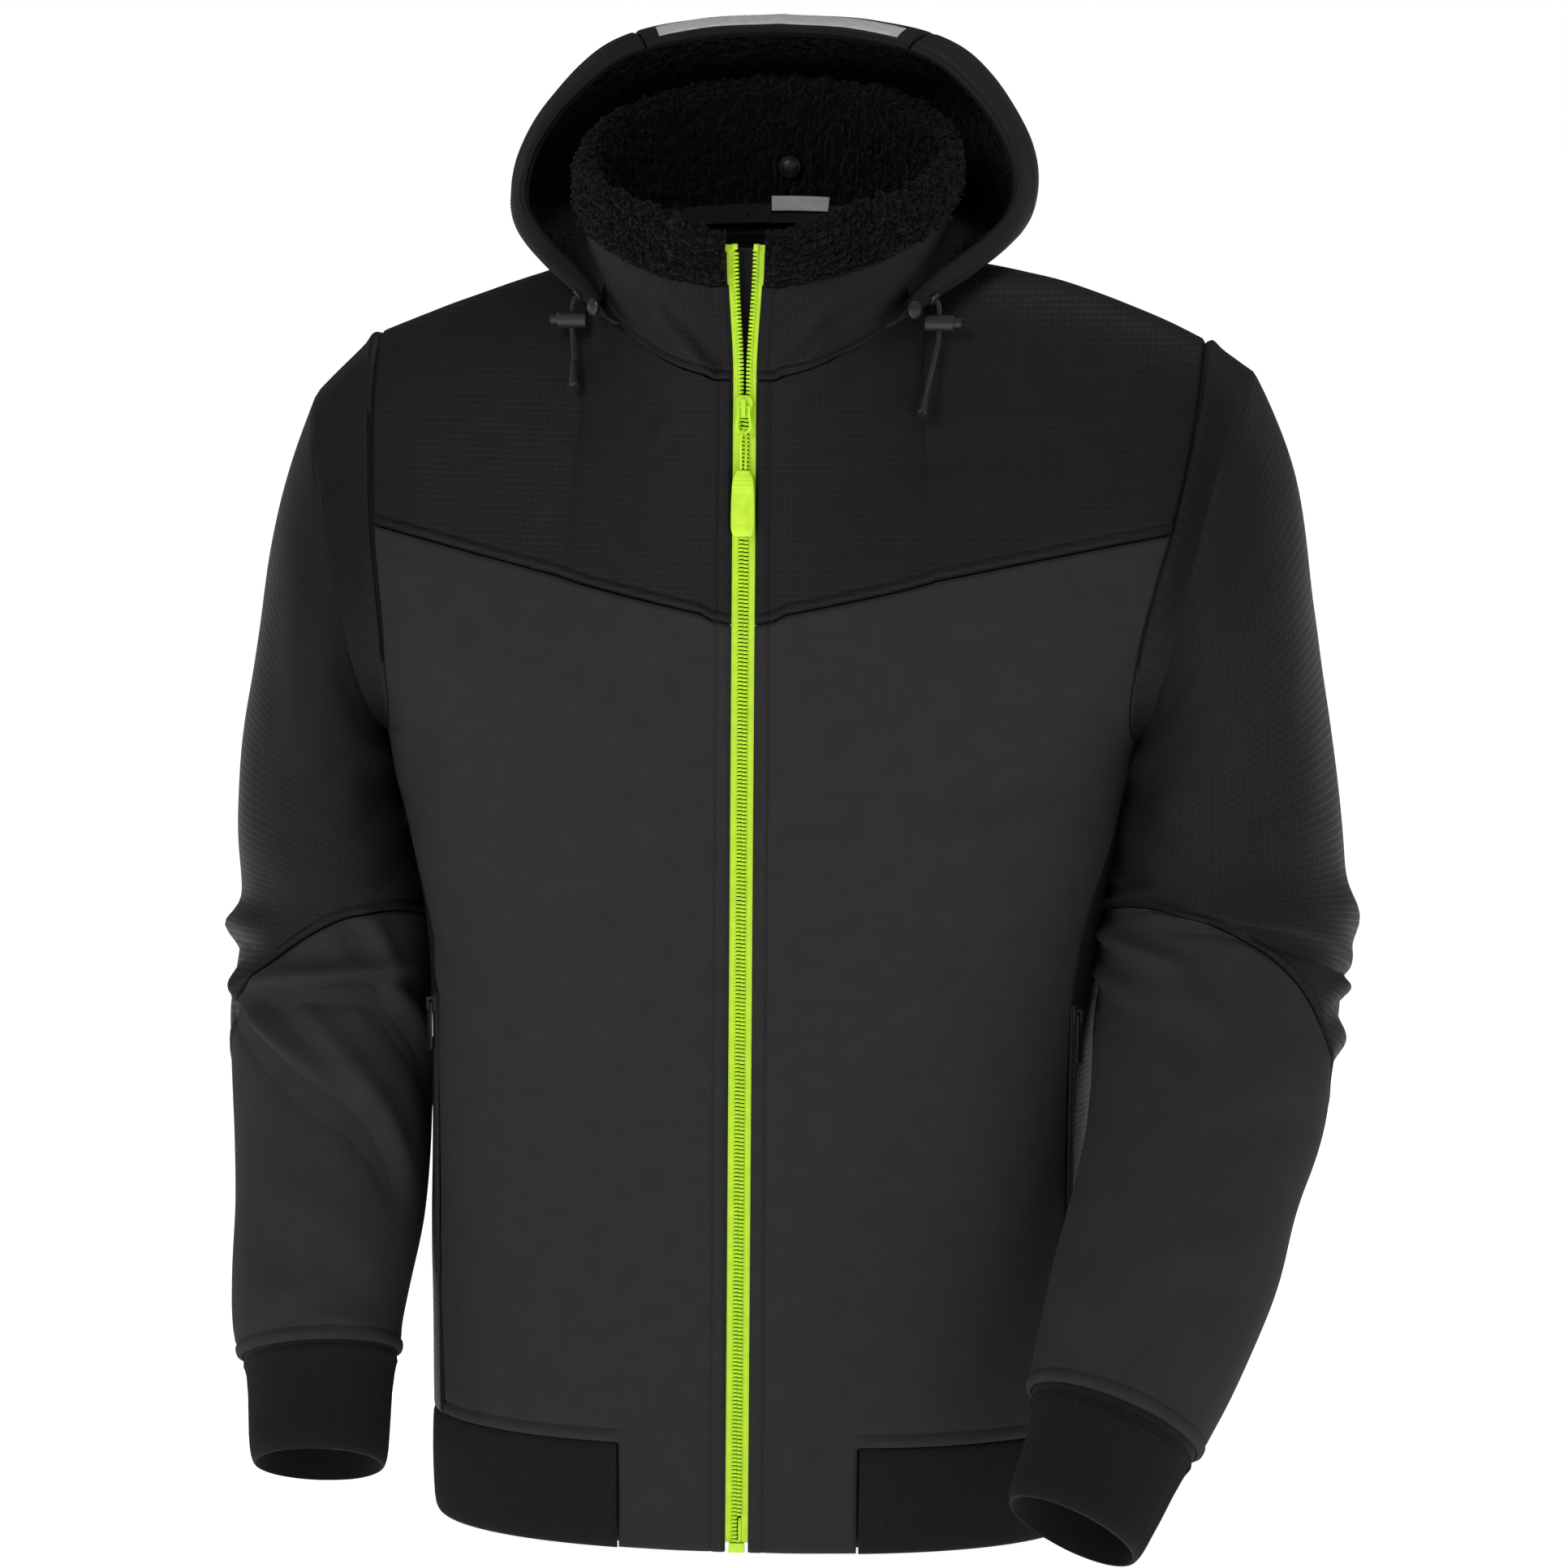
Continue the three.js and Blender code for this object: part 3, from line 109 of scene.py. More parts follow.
def fold(x, y, middle, angle, length, width, height, bend=0.0):
    """One soft crease: a ridge through middle at an angle in degrees, fading towards both ends."""
    c, s = math.cos(math.radians(angle)), math.sin(math.radians(angle))
    along = (x - middle[0]) * c + (y - middle[1]) * s
    across = (y - middle[1]) * c - (x - middle[0]) * s - bend * along * along
    fade = np.clip(1 - (2 * along / length) ** 2, 0, 1) ** 1.5
    ridge = np.exp(-((across / width) ** 2))
    hollow = 0.6 * np.exp(-(((across - 1.7 * width) / (1.2 * width)) ** 2))
    return height * fade * (ridge - hollow)


def folds(x, y, *creases):
    return sum(fold(x, y, *crease) for crease in creases)


def drape(x, y, size, height, seed):
    """Gentle unevenness of cloth: a broad swell with a finer one on it."""
    broad = noise(x / size, y / (1.3 * size), seed)
    fine = noise(x / (0.38 * size), y / (0.5 * size), seed + 3)
    return height * (0.75 * broad + 0.25 * fine)


# ---- Torso surface ----

half_width = smooth_through([
    (0, 187), (150, 190), (260, 190), (345, 194), (400, 204), (455, 216), (500, 236), (567, 253),
    (700, 256),
])
back_depth = smooth_through([
    (0, 114), (120, 112), (260, 112), (400, 122), (520, 130), (640, 128), (700, 120),
])
ROUNDNESS = 0.87
BLEND_FROM = 430.0
SHOULDER_TIP = {RIGHT: 224.0, LEFT: 252.0}
SHOULDER_BULGE = {RIGHT: 3.0, LEFT: 9.0}
NECK_HALF_WIDTH, NECK_SHARE, NECK_BACK = 92.0, 0.42, 78.0
NECK_FRONT_Z, NECK_SIDE_Z, NECK_BACK_Z = 662.0, 726.0, 738.0
RIDGE = 4.0


def front_depth(z):
    return 126 - 0.016 * z


def armhole_angle(height):
    climb = np.clip((height - UNDERARM) / 112, 0, 1)
    return np.radians(83.7) - np.radians(83.7 - 54.8) * np.sqrt(1 - (1 - climb) ** 2)


def edge_angle(height):
    below = np.radians(lerp(69.3, 83.7, smoothstep(height, 300, UNDERARM)))
    return np.where(height > UNDERARM, armhole_angle(height), below)


def neck_base(side, face, turn):
    x = side * NECK_HALF_WIDTH * np.sin(turn)
    c = np.cos(turn)
    if face == BACK:
        y = RIDGE + (NECK_BACK - RIDGE) * c
        return stack(x, y, NECK_SIDE_Z + (NECK_BACK_Z - NECK_SIDE_Z) * c)
    y = RIDGE + (-front_depth(NECK_FRONT_Z) - RIDGE) * c
    z = NECK_FRONT_Z + (NECK_SIDE_Z - NECK_FRONT_Z) * np.maximum(1 - c, 0) ** 0.9
    return stack(x, y, z)


def top_edge(side, face, share):
    share = np.asarray(share, float)
    near = neck_base(side, face, np.minimum(share / NECK_SHARE, 1) * (np.pi / 2))
    out = np.clip((share - NECK_SHARE) / (1 - NECK_SHARE), 0, 1)
    z = lerp(NECK_SIDE_Z, SHOULDER, out) + SHOULDER_BULGE[side] * 4 * out * (1 - out)
    far = stack(side * lerp(NECK_HALF_WIDTH, SHOULDER_TIP[side], out), RIDGE, z)
    return np.where((share < NECK_SHARE)[..., None], near, far)


def true_height(height, top_z):
    raised = BLEND_FROM + (height - BLEND_FROM) / (SHOULDER - BLEND_FROM) * (top_z - BLEND_FROM)
    return np.where(height < BLEND_FROM, height, raised)


def torso(side, face, angle, height):
    angle, height = np.broadcast_arrays(np.asarray(angle, float), np.asarray(height, float))
    share = np.minimum(1, angle / armhole_angle(height))
    top = top_edge(side, face, share)
    z = true_height(height, top[..., 2])
    depth = front_depth(z) if face == FRONT else back_depth(z)
    x = side * half_width(z) * np.sin(angle) ** ROUNDNESS
    y = face * depth * np.maximum(np.cos(angle), 0) ** ROUNDNESS
    rise = np.clip((z - BLEND_FROM) / (top[..., 2] - BLEND_FROM), 0, 1)
    over = 1 - np.sqrt(np.maximum(1 - rise * rise, 0))
    bend = over
    if face == FRONT:
        bend = lerp(rise * rise, over, smoothstep(share, 0, NECK_SHARE))
    return stack(lerp(x, top[..., 0], smoothstep(rise, 0, 1)), lerp(y, top[..., 1], bend), z)


def front_strip(side, x, height):
    z = true_height(height, NECK_FRONT_Z)
    return stack(side * x, -front_depth(z), z)


def yoke_seam(side, face, share):
    z = lerp(526, 575, share ** 0.8) if face == FRONT else lerp(560, 572, share)
    top = top_edge(side, face, share)[..., 2]
    return BLEND_FROM + (z - BLEND_FROM) / (top - BLEND_FROM) * (SHOULDER - BLEND_FROM)


# ---- Sleeves ----

RING_VALUES = ("x", "y", "z", "across", "deep", "tilt", "pitch")


def arm(*rows):
    """Curves for an arm from its rings: centre, half sizes across and deep, tilt and forward pitch."""
    curves = {}
    for k, name in enumerate(RING_VALUES):
        curves[name] = smooth_through([(at + 1, row[k]) for at, row in enumerate(rows)])
    return curves


ARM = {
    RIGHT: arm(
        (241, 1, 550, 99, 77, 80, 0), (249.4, 3, 515.2, 81.8, 80, 69.4, 0),
        (254.2, 6, 468.6, 59.8, 80, 51.5, 0), (254.6, 9, 427, 55.4, 79, 34, 0),
        (254.1, 10, 380, 54.7, 76, 17, 0), (251.4, 9, 340, 53.6, 70, 6, 3),
        (253, 2, 292, 57, 65, 0, 9), (251, -8, 234, 56, 61, 0, 12), (250, -22, 172, 53, 57, 0, 15),
        (254, -38, 118, 48, 49, -2, 19), (252, -46, 92, 45, 44, -5, 22), (251, -49, 84, 40, 40, -5, 22),
        (250, -57, 60, 38, 38, -4, 24), (249, -68, 32, 37, 37, -2, 26),
    ),
    LEFT: arm(
        (250.4, 1, 556.6, 110, 77, 75.7, 0), (260.8, 2, 523.5, 94.8, 80, 64.6, 0),
        (265.7, 4, 476.5, 72.3, 80, 47.6, 0), (266.3, 6, 429, 66.7, 78, 30, 0),
        (267.7, 6, 383, 65.2, 75, 10, 0), (266.6, 0, 340, 67.5, 68, -2, 13),
        (264, -20, 298, 68.5, 62, -2, 26), (260.5, -55, 247, 65.5, 56, -4, 31),
        (250, -84, 203, 61, 54, -6, 32),
        (238, -112, 155, 60, 51, -8, 32), (214, -149, 85, 49, 43, -19, 32), (212, -153, 78, 43, 40, -20, 32),
        (204, -165, 54, 39, 38, -21, 32), (193, -177, 29, 37, 37, -22, 32),
    ),
}
SEAM_STATION, CUFF_END = 11.0, 14.0
ARMHOLE_RADIUS = 112.5


def armhole_point(side, turn):
    height = np.minimum(UNDERARM + ARMHOLE_RADIUS * (1 + np.sin(turn)), SHOULDER - 0.5)
    angle = armhole_angle(height)
    front = torso(side, FRONT, angle, height)
    back = torso(side, BACK, angle, height)
    p = np.where((np.cos(turn) > 0)[..., None], front, back)
    return p + stack(side * 1.6, 0, 2.4 * np.maximum(0, -np.sin(turn)))


def arm_ring(side, at, turn):
    ring = {name: curve(at) for name, curve in ARM[side].items()}
    tilt, pitch = np.radians(ring["tilt"]), np.radians(ring["pitch"])
    outward = stack(side * np.cos(tilt), 0, np.sin(tilt))
    forward = stack(0, -np.cos(pitch), np.sin(pitch))
    centre = stack(side * ring["x"], ring["y"], ring["z"])
    deep = (ring["deep"] * np.cos(turn))[..., None]
    across = (ring["across"] * np.sin(turn))[..., None]
    return centre + forward * deep + outward * across


def sleeve(side, at, turn):
    at, turn = np.broadcast_arrays(np.asarray(at, float), np.asarray(turn, float))
    ring = arm_ring(side, np.maximum(at, 1), turn)
    start = armhole_point(side, turn)
    near = lerp(start, arm_ring(side, np.ones_like(at), turn), at[..., None])
    return np.where((at >= 1)[..., None], ring, near)


def elbow_seam(turn):
    return 6.75 + 1.15 * np.sin(turn - math.radians(35))


# ---- Collar and hood ----

COLLAR_TOP, COLLAR_RISE, COLLAR_HALF, COLLAR_BACK, COLLAR_BULGE = 786.0, 38.0, 105.0, 88.0, 5.0


def collar(side, turn, up):
    """side may be an array; turn is 0 at the centre front and a half turn at the centre back."""
    turn, up, side = np.broadcast_arrays(turn, up, side)
    front = turn < np.pi / 2
    base = np.where(
        front[..., None],
        neck_base(side, FRONT, turn),
        neck_base(side, BACK, np.pi - turn),
    )
    depth = np.where(front, -front_depth(COLLAR_TOP - COLLAR_RISE) - RIDGE, RIDGE - COLLAR_BACK)
    y = RIDGE + np.cos(turn) * depth
    top = stack(side * COLLAR_HALF * np.sin(turn), y, COLLAR_TOP - COLLAR_RISE * np.cos(turn))
    bulge = COLLAR_BULGE * np.sin(np.pi * np.clip(up, 0, 1)) * np.sin(turn)
    swell = stack(side * bulge * np.sin(turn), -bulge * np.cos(turn), 0)
    return lerp(base, top, up[..., None]) + swell


def curves_of(names, rows):
    return {n: smooth_through([(row[0], row[k + 1]) for row in rows]) for k, n in enumerate(names)}


HOOD_RIM = curves_of(("x", "y", "z"), (
    (0, 0, 50, 856), (0.16, 45, 49, 853), (0.32, 89, 44, 841), (0.45, 119, 33, 816),
    (0.56, 136, 19, 790), (0.65, 141, 6, 768), (0.73, 137, -8, 753), (0.81, 124, -24, 739),
    (0.88, 108, -40, 727), (0.94, 96, -54, 717), (1, 86, -68, 706),
))
HOOD_SWELL = curves_of(("out", "drop", "x", "y", "z"), (
    (0, 80, 18, 0, 104, 48), (0.3, 80, 14, 30, 90, 42), (0.5, 62, 6, 31, 58, 12),
    (0.65, 50, 2, 18, 22, -6), (0.8, 28, 0, 9, 2, -10), (1, 6, 0, 4, -2, -5),
))


def hood(round_, up):
    round_, up = np.broadcast_arrays(np.asarray(round_, float), np.asarray(up, float))
    side = np.where(round_ < 0, RIGHT, LEFT)
    at = np.minimum(np.abs(round_), 1)
    turn = np.pi - math.radians(132) * at
    outward = stack(side * np.sin(turn), -np.cos(turn), 0)
    front = neck_base(side, FRONT, turn)
    back = neck_base(side, BACK, np.pi - turn)
    seam = np.where((turn < np.pi / 2)[..., None], front, back) + outward * 8 + stack(0, 0, 7)
    rim = {n: c(at) for n, c in HOOD_RIM.items()}
    swell = {n: c(at) for n, c in HOOD_SWELL.items()}
    low = seam + outward * swell["out"][..., None] - stack(0, 0, swell["drop"])
    high = stack(side * (rim["x"] + swell["x"]), rim["y"] + swell["y"], rim["z"] + swell["z"])
    end = stack(side * rim["x"], rim["y"], rim["z"])
    t = up[..., None]
    return (1 - t) ** 3 * seam + 3 * t * (1 - t) ** 2 * low + 3 * t * t * (1 - t) * high + t ** 3 * end


# ---- Meshes from grids ----


def normals_of(p, closed):
    """Unit normals of a grid of points; rows are the first index."""
    if closed:
        across = np.roll(p, -1, axis=1) - np.roll(p, 1, axis=1)
    else:
        across = np.gradient(p, axis=1)
    return unit(np.cross(across, np.gradient(p, axis=0)))


def grid_faces(rows, columns, closed, keep=None):
    """Corner numbers of every quad of a grid of points, as (rows, columns, 4)."""
    j, i = np.meshgrid(np.arange(rows - 1), np.arange(columns if closed else columns - 1), indexing="ij")
    nxt = (i + 1) % columns
    quads = np.stack([j * columns + i, j * columns + nxt, (j + 1) * columns + nxt, (j + 1) * columns + i], -1)
    mask = np.ones(quads.shape[:2], bool) if keep is None else keep
    return quads, mask


def rim_faces(quads, mask, closed, offset):
    """Quads that close the edges between the outer grid and the inner grid."""
    found = []
    steps = ((-1, 0, 0, 1), (1, 0, 2, 3), (0, -1, 3, 0), (0, 1, 1, 2))
    for dj, di, a, b in steps:
        other = np.zeros_like(mask)
        if di and closed:
            other = np.roll(mask, -di, axis=1)
        elif di == 1:
            other[:, :-1] = mask[:, 1:]
        elif di == -1:
            other[:, 1:] = mask[:, :-1]
        elif dj == 1:
            other[:-1] = mask[1:]
        else:
            other[1:] = mask[:-1]
        edge = quads[mask & ~other]
        found.append(np.stack([edge[:, b], edge[:, a], edge[:, a] + offset, edge[:, b] + offset], -1))
    return np.concatenate(found)


def write_mesh(name, points, faces, material, uv=None, smooth=True):
    """Makes an object from millimetre points and a list of arrays of faces with equal corner counts."""
    mesh = bpy.data.meshes.new(name)
    spots = np.asarray(points, float).reshape(-1, 3) / 1000
    spots[:, 2] -= NECK_HEIGHT / 1000
    groups = [np.asarray(f) for f in faces if len(f)]
    used = np.unique(np.concatenate([g.ravel() for g in groups]))
    renumber = np.full(len(spots), -1)
    renumber[used] = np.arange(len(used))
    groups = [renumber[g] for g in groups]
    corners = np.concatenate([g.ravel() for g in groups])
    counts = np.concatenate([np.full(len(g), g.shape[1]) for g in groups])
    mesh.vertices.add(len(used))
    mesh.vertices.foreach_set("co", spots[used].ravel())
    mesh.loops.add(len(corners))
    mesh.loops.foreach_set("vertex_index", corners)
    mesh.polygons.add(len(counts))
    mesh.polygons.foreach_set("loop_start", np.concatenate([[0], np.cumsum(counts)[:-1]]))
    mesh.polygons.foreach_set("use_smooth", np.full(len(counts), smooth))
    if uv is not None:
        layer = mesh.uv_layers.new(name="cloth")
        layer.data.foreach_set("uv", np.asarray(uv, float).reshape(-1, 2)[used][corners].ravel())
    mesh.update(calc_edges=True)
    mesh.validate()
    mesh.materials.append(material)
    made = bpy.data.objects.new(name, mesh)
    bpy.context.scene.collection.objects.link(made)
    return made


def finish_piece(made, replaces=(), body="coat"):
    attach(made, body)
    if replaces:
        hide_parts(*replaces)
    return made


def spread(low, high, steps, lips=(0.5, 1.3, 2.6), scale=1.0):
    """Even values from low to high with a few extra ones close to both ends, for rounded edges.
    scale is how many units of the value make a millimetre."""
    lip = np.array(lips) * scale
    return np.sort(np.concatenate([np.linspace(low, high, steps + 1), low + lip, high - lip]))


def arc_lengths(p):
    """Distances in millimetres along the rows and up the columns of a grid, from its middle lines."""
    across = np.concatenate([[0], np.cumsum(np.linalg.norm(np.diff(p[len(p) // 2], axis=0), axis=1))])
    middle = p[:, p.shape[1] // 2]
    up = np.concatenate([[0], np.cumsum(np.linalg.norm(np.diff(middle, axis=0), axis=1))])
    return np.meshgrid(across, up)


def rim_distance(p, closed=False, sides="lrbt"):
    """Millimetres from each grid point to the nearest edge of the piece."""
    step_i = np.linalg.norm(np.diff(p, axis=1), axis=2)
    step_j = np.linalg.norm(np.diff(p, axis=0), axis=2)
    far = np.full(p.shape[:2], 1e9)
    if not closed:
        from_left = np.concatenate([np.zeros((len(p), 1)), np.cumsum(step_i, axis=1)], axis=1)
        if "l" in sides:
            far = np.minimum(far, from_left)
        if "r" in sides:
            far = np.minimum(far, from_left[:, -1:] - from_left)
    from_low = np.concatenate([np.zeros((1, p.shape[1])), np.cumsum(step_j, axis=0)], axis=0)
    if "b" in sides:
        far = np.minimum(far, from_low)
    if "t" in sides:
        far = np.minimum(far, from_low[-1:] - from_low)
    return far


def puffed(distance, stitch, height=0.9, groove=0.9):
    """A turned edge: it swells between the rim and its line of stitches, and dips at the stitches."""
    swell = height * np.sin(np.pi * np.clip(distance / stitch, 0, 1)) ** 0.6
    dip = groove * np.exp(-(((distance - stitch) / 1.1) ** 2))
    roll = 1.5 * np.exp(-((distance / 0.8) ** 2))
    return swell - dip - roll


def sunk(distance, depth=1.3, width=1.0):
    """How far the edge of a piece sinks into its seam."""
    return depth * np.exp(-((distance / width) ** 2))


def body_axis(p):
    """Points on the upright line inside the coat, which the cloth at p faces away from."""
    return stack(0, 0, np.minimum(p[..., 2], 600))


def cloth_piece(name, p, material, replaces=(), out=SHELL, inside=0.0, relief=0.0, outward=None,
                closed=False, keep=None, uv=None):
    """A closed sheet of cloth on a grid of points. outward is a point that its normals lead away
    from, or a vector array; relief is added to the outer face."""
    n = normals_of(p, closed)
    flipped = outward is not None and float(np.sum(n * (p - outward))) < 0
    if flipped:
        n = -n
    rows, columns = p.shape[:2]
    outer = p + n * (out + relief * np.ones(p.shape[:2]))[..., None]
    inner = p + n * (inside * np.ones(p.shape[:2]))[..., None]
    quads, mask = grid_faces(rows, columns, closed, keep)
    total = rows * columns
    sheets = [quads[mask], quads[mask][:, ::-1] + total, rim_faces(quads, mask, closed, total)]
    if flipped:
        sheets = [s[:, ::-1] for s in sheets]
    if uv is None:
        uv = np.stack(arc_lengths(p), -1)
    both = np.concatenate([uv.reshape(-1, 2), uv.reshape(-1, 2)])
    points = np.concatenate([outer.reshape(-1, 3), inner.reshape(-1, 3)])
    made = write_mesh(name, points, sheets, material, both)
    finish_piece(made, replaces)
    return outer, n


# ---- Stitches ----

STITCH_SECTION = np.array([(math.cos(a), math.sin(a)) for a in np.radians([0, 60, 120, 180, 240, 300])])


def resample(line, step):
    """Points at equal distances along a line of points, and the line's normals with them."""
    lengths = np.concatenate([[0], np.cumsum(np.linalg.norm(np.diff(line, axis=0), axis=1))])
    at = np.arange(0, lengths[-1] - step * 0.5, step)
    return np.stack([np.interp(at, lengths, line[:, k]) for k in range(3)], -1), at, lengths


def stitches(name, seams, material, pitch=2.6, length=1.9, radius=0.24):
    """Rows of separate thread stitches. Each seam is a line of surface points and its normals."""
    points, faces, count = [], [], 0
    profile = ((-0.5, 0.25), (-0.32, 0.9), (0, 1.15), (0.32, 0.9), (0.5, 0.25))
    sides = len(STITCH_SECTION)
    each = sides * len(profile)
    for line, normal in seams:
        spots, at, lengths = resample(line, pitch)
        up = unit(np.stack([np.interp(at, lengths, normal[:, k]) for k in range(3)], -1))
        along = unit(np.gradient(spots, axis=0))
        side = unit(np.cross(along, up))
        rings = []
        for share, size in profile:
            raised = 0.35 * radius * (1 - abs(share) * 3.4)
            ring = spots[:, None] + along[:, None] * share * length + up[:, None] * raised
            rings.append(ring + radius * size * (
                side[:, None] * STITCH_SECTION[None, :, :1] + up[:, None] * STITCH_SECTION[None, :, 1:]
            ))
        points.append(np.stack(rings, 1).reshape(-1, 3))
        first = count + np.arange(len(spots))[:, None] * each
        for r in range(len(profile) - 1):
            for k in range(sides):
                a, b = r * sides + k, r * sides + (k + 1) % sides
                faces.append(first + np.array([[a, b, b + sides, a + sides]]))
        count += len(spots) * each
    starts = np.arange(0, count, each)[:, None]
    low_cap = starts + np.arange(sides)[None, ::-1]
    high_cap = starts + each - sides + np.arange(sides)[None]
    made = write_mesh(name, np.concatenate(points), [np.concatenate(faces), low_cap, high_cap], material)
    return finish_piece(made)


# ---- Materials ----


def new_material(name, color, roughness, metallic=0.0, sheen=0.0, specular=0.5):
    material = bpy.data.materials.new(name)
    material.use_nodes = True
    shader = material.node_tree.nodes["Principled BSDF"]
    shader.inputs["Base Color"].default_value = (*color, 1)
    shader.inputs["Roughness"].default_value = roughness
    shader.inputs["Metallic"].default_value = metallic
    shader.inputs["Specular IOR Level"].default_value = specular
    shader.inputs["Sheen Weight"].default_value = sheen
    shader.inputs["Sheen Roughness"].default_value = 0.5
    return material, shader


class Graph:
    """Short calls for adding shader nodes."""

    def __init__(self, material):
        self.tree = material.node_tree

    def add(self, kind, values=None, **settings):
        node = self.tree.nodes.new(kind)
        for key, value in settings.items():
            setattr(node, key, value)
        for key, value in (values or {}).items():
            if isinstance(value, bpy.types.NodeSocket):
                self.tree.links.new(value, node.inputs[key])
            else:
                node.inputs[key].default_value = value
        return node

    def math(self, operation, a, b=0.0):
        return self.add("ShaderNodeMath", {0: a, 1: b}, operation=operation).outputs[0]

    def link(self, a, b):
        self.tree.links.new(a, b)

    def noise(self, vector, scale, detail=2.0, roughness=0.5):
        node = self.add("ShaderNodeTexNoise", {"Vector": vector, "Scale": scale, "Detail": detail})
        node.inputs["Roughness"].default_value = roughness
        return node.outputs["Fac"]

    def ramp(self, value, low, high, from_low=0.0, from_high=1.0):
        node = self.add("ShaderNodeMapRange", {"Value": value, "From Min": from_low, "From Max": from_high})
        node.inputs["To Min"].default_value = low
        node.inputs["To Max"].default_value = high
        return node.outputs["Result"]

    def mix(self, factor, a, b):
        node = self.add("ShaderNodeMix", data_type="RGBA")
        for k, value in ((0, factor), (6, a), (7, b)):
            if isinstance(value, bpy.types.NodeSocket):
                self.link(value, node.inputs[k])
            else:
                node.inputs[k].default_value = value
        return node.outputs[2]

    def bump(self, height, strength, distance, normal=None):
        values = {"Height": height, "Strength": strength, "Distance": distance}
        if normal is not None:
            values["Normal"] = normal
        return self.add("ShaderNodeBump", values).outputs["Normal"]


def grey(v):
    return (v, v, v * 1.02, 1)


def cloth_coordinates(g):
    """The flat cloth in millimetres, as U along and V up."""
    uv = g.add("ShaderNodeTexCoord").outputs["UV"]
    parts = g.add("ShaderNodeSeparateXYZ", {0: uv})
    return uv, parts.outputs[0], parts.outputs[1]


def lines(g, value, pitch, share):
    """1 on thin lines repeated at a pitch, 0 between them."""
    saw = g.math("FRACT", g.math("DIVIDE", value, pitch))
    return g.math("LESS_THAN", saw, share)


def woven(name, tone, roughness, sheen, thread, depth, mottle=0.12, specular=0.3):
    """Plain matt cloth: crossed fine threads, mottled colour and slightly uneven roughness."""
    material, shader = new_material(name, (tone, tone, tone * 1.02), roughness, 0, sheen, specular)
    g = Graph(material)
    uv, u, v = cloth_coordinates(g)
    warp = g.math("SINE", g.math("MULTIPLY", u, 2 * math.pi / thread))
    weft = g.math("SINE", g.math("MULTIPLY", v, 2 * math.pi / thread))
    weave = g.math("MULTIPLY", warp, weft)
    cloud = g.noise(uv, 0.06, 4, 0.6)
    flecks = g.noise(uv, 1.4, 2, 0.6)
    mixed = g.math("ADD", g.math("MULTIPLY", cloud, 0.6), g.math("MULTIPLY", flecks, 0.4))
    shade = g.ramp(mixed, 0.0, 1.0, 0.3, 0.7)
    color = g.mix(shade, grey(tone * (1 - mottle)), grey(tone * (1 + mottle)))
    g.link(color, shader.inputs["Base Color"])
    g.link(g.ramp(flecks, roughness - 0.06, min(roughness + 0.06, 1.0), 0.3, 0.7), shader.inputs["Roughness"])
    height = g.math("ADD", weave, g.math("MULTIPLY", flecks, 1.2))
    g.link(g.bump(height, 0.35, depth / 1000), shader.inputs["Normal"])
    return material


def ripstop_cloth():
    """Black ripstop: a fine weave crossed by thicker raised threads every 3.4 mm, which carry a painted
    highlight.
    """
    tone, grid_pitch, thread_share, fine_pitch = 0.0105, 3.4, 0.2, 0.85
    material, shader = new_material("ripstop", (tone, tone, tone * 1.03), 0.6, 0, 0.01, 0.12)
    g = Graph(material)
    uv, u, v = cloth_coordinates(g)
    across = lines(g, v, grid_pitch, thread_share)
    upright = lines(g, u, grid_pitch, thread_share)
    grid = g.math("MAXIMUM", g.math("MULTIPLY", upright, 0.7), across)
    warp = g.math("SINE", g.math("MULTIPLY", u, 2 * math.pi / fine_pitch))
    weft = g.math("SINE", g.math("MULTIPLY", v, 2 * math.pi / fine_pitch))
    cloud = g.noise(uv, 0.05, 4, 0.6)
    base = g.mix(g.ramp(cloud, 0, 1, 0.3, 0.7), grey(tone * 0.88), grey(tone * 1.12))
    # The raised grid threads are painted lighter: a painted highlight, besides their real lower roughness and
    # raised bump.
    color = g.mix(g.math("MULTIPLY", grid, 0.55), base, grey(tone * 1.75))
    g.link(color, shader.inputs["Base Color"])
    g.link(g.ramp(grid, 0.6, 0.46), shader.inputs["Roughness"])
    weave = g.math("MULTIPLY", g.math("MULTIPLY", warp, weft), 0.4)
    height = g.math("ADD", g.math("MULTIPLY", grid, 2.0), weave)
    g.link(g.bump(height, 0.5, 0.00016), shader.inputs["Normal"])
    return material


def pile_cloth(name, tone, scale=0.42):
    """Curly pile: clumped loops, with painted shade in the gaps between the curls and painted light on the
    curls.
    """
    material, shader = new_material(name, (tone, tone, tone), 0.95, 0, 0.06, 0.06)
    g = Graph(material)
    place = g.add("ShaderNodeTexCoord").outputs["Object"]
    cells = g.add("ShaderNodeTexVoronoi", {"Vector": place, "Scale": 1000 * scale}).outputs["Distance"]
    curls = g.noise(place, 1000 * scale * 2.2, 3, 0.7)
    lumps = g.noise(place, 1000 * scale * 0.4, 3, 0.6)
    height = g.math("SUBTRACT", g.math("ADD", curls, g.math("MULTIPLY", lumps, 0.8)), cells)
    # The colour follows the bump height: painted shade in the low gaps, painted light on the high curls.
    shade = g.ramp(height, 0, 1, 0.2, 1.1)
    g.link(g.mix(shade, grey(tone * 0.35), grey(tone * 2.1)), shader.inputs["Base Color"])
    g.link(g.bump(height, 0.9, 0.0012), shader.inputs["Normal"])
    return material


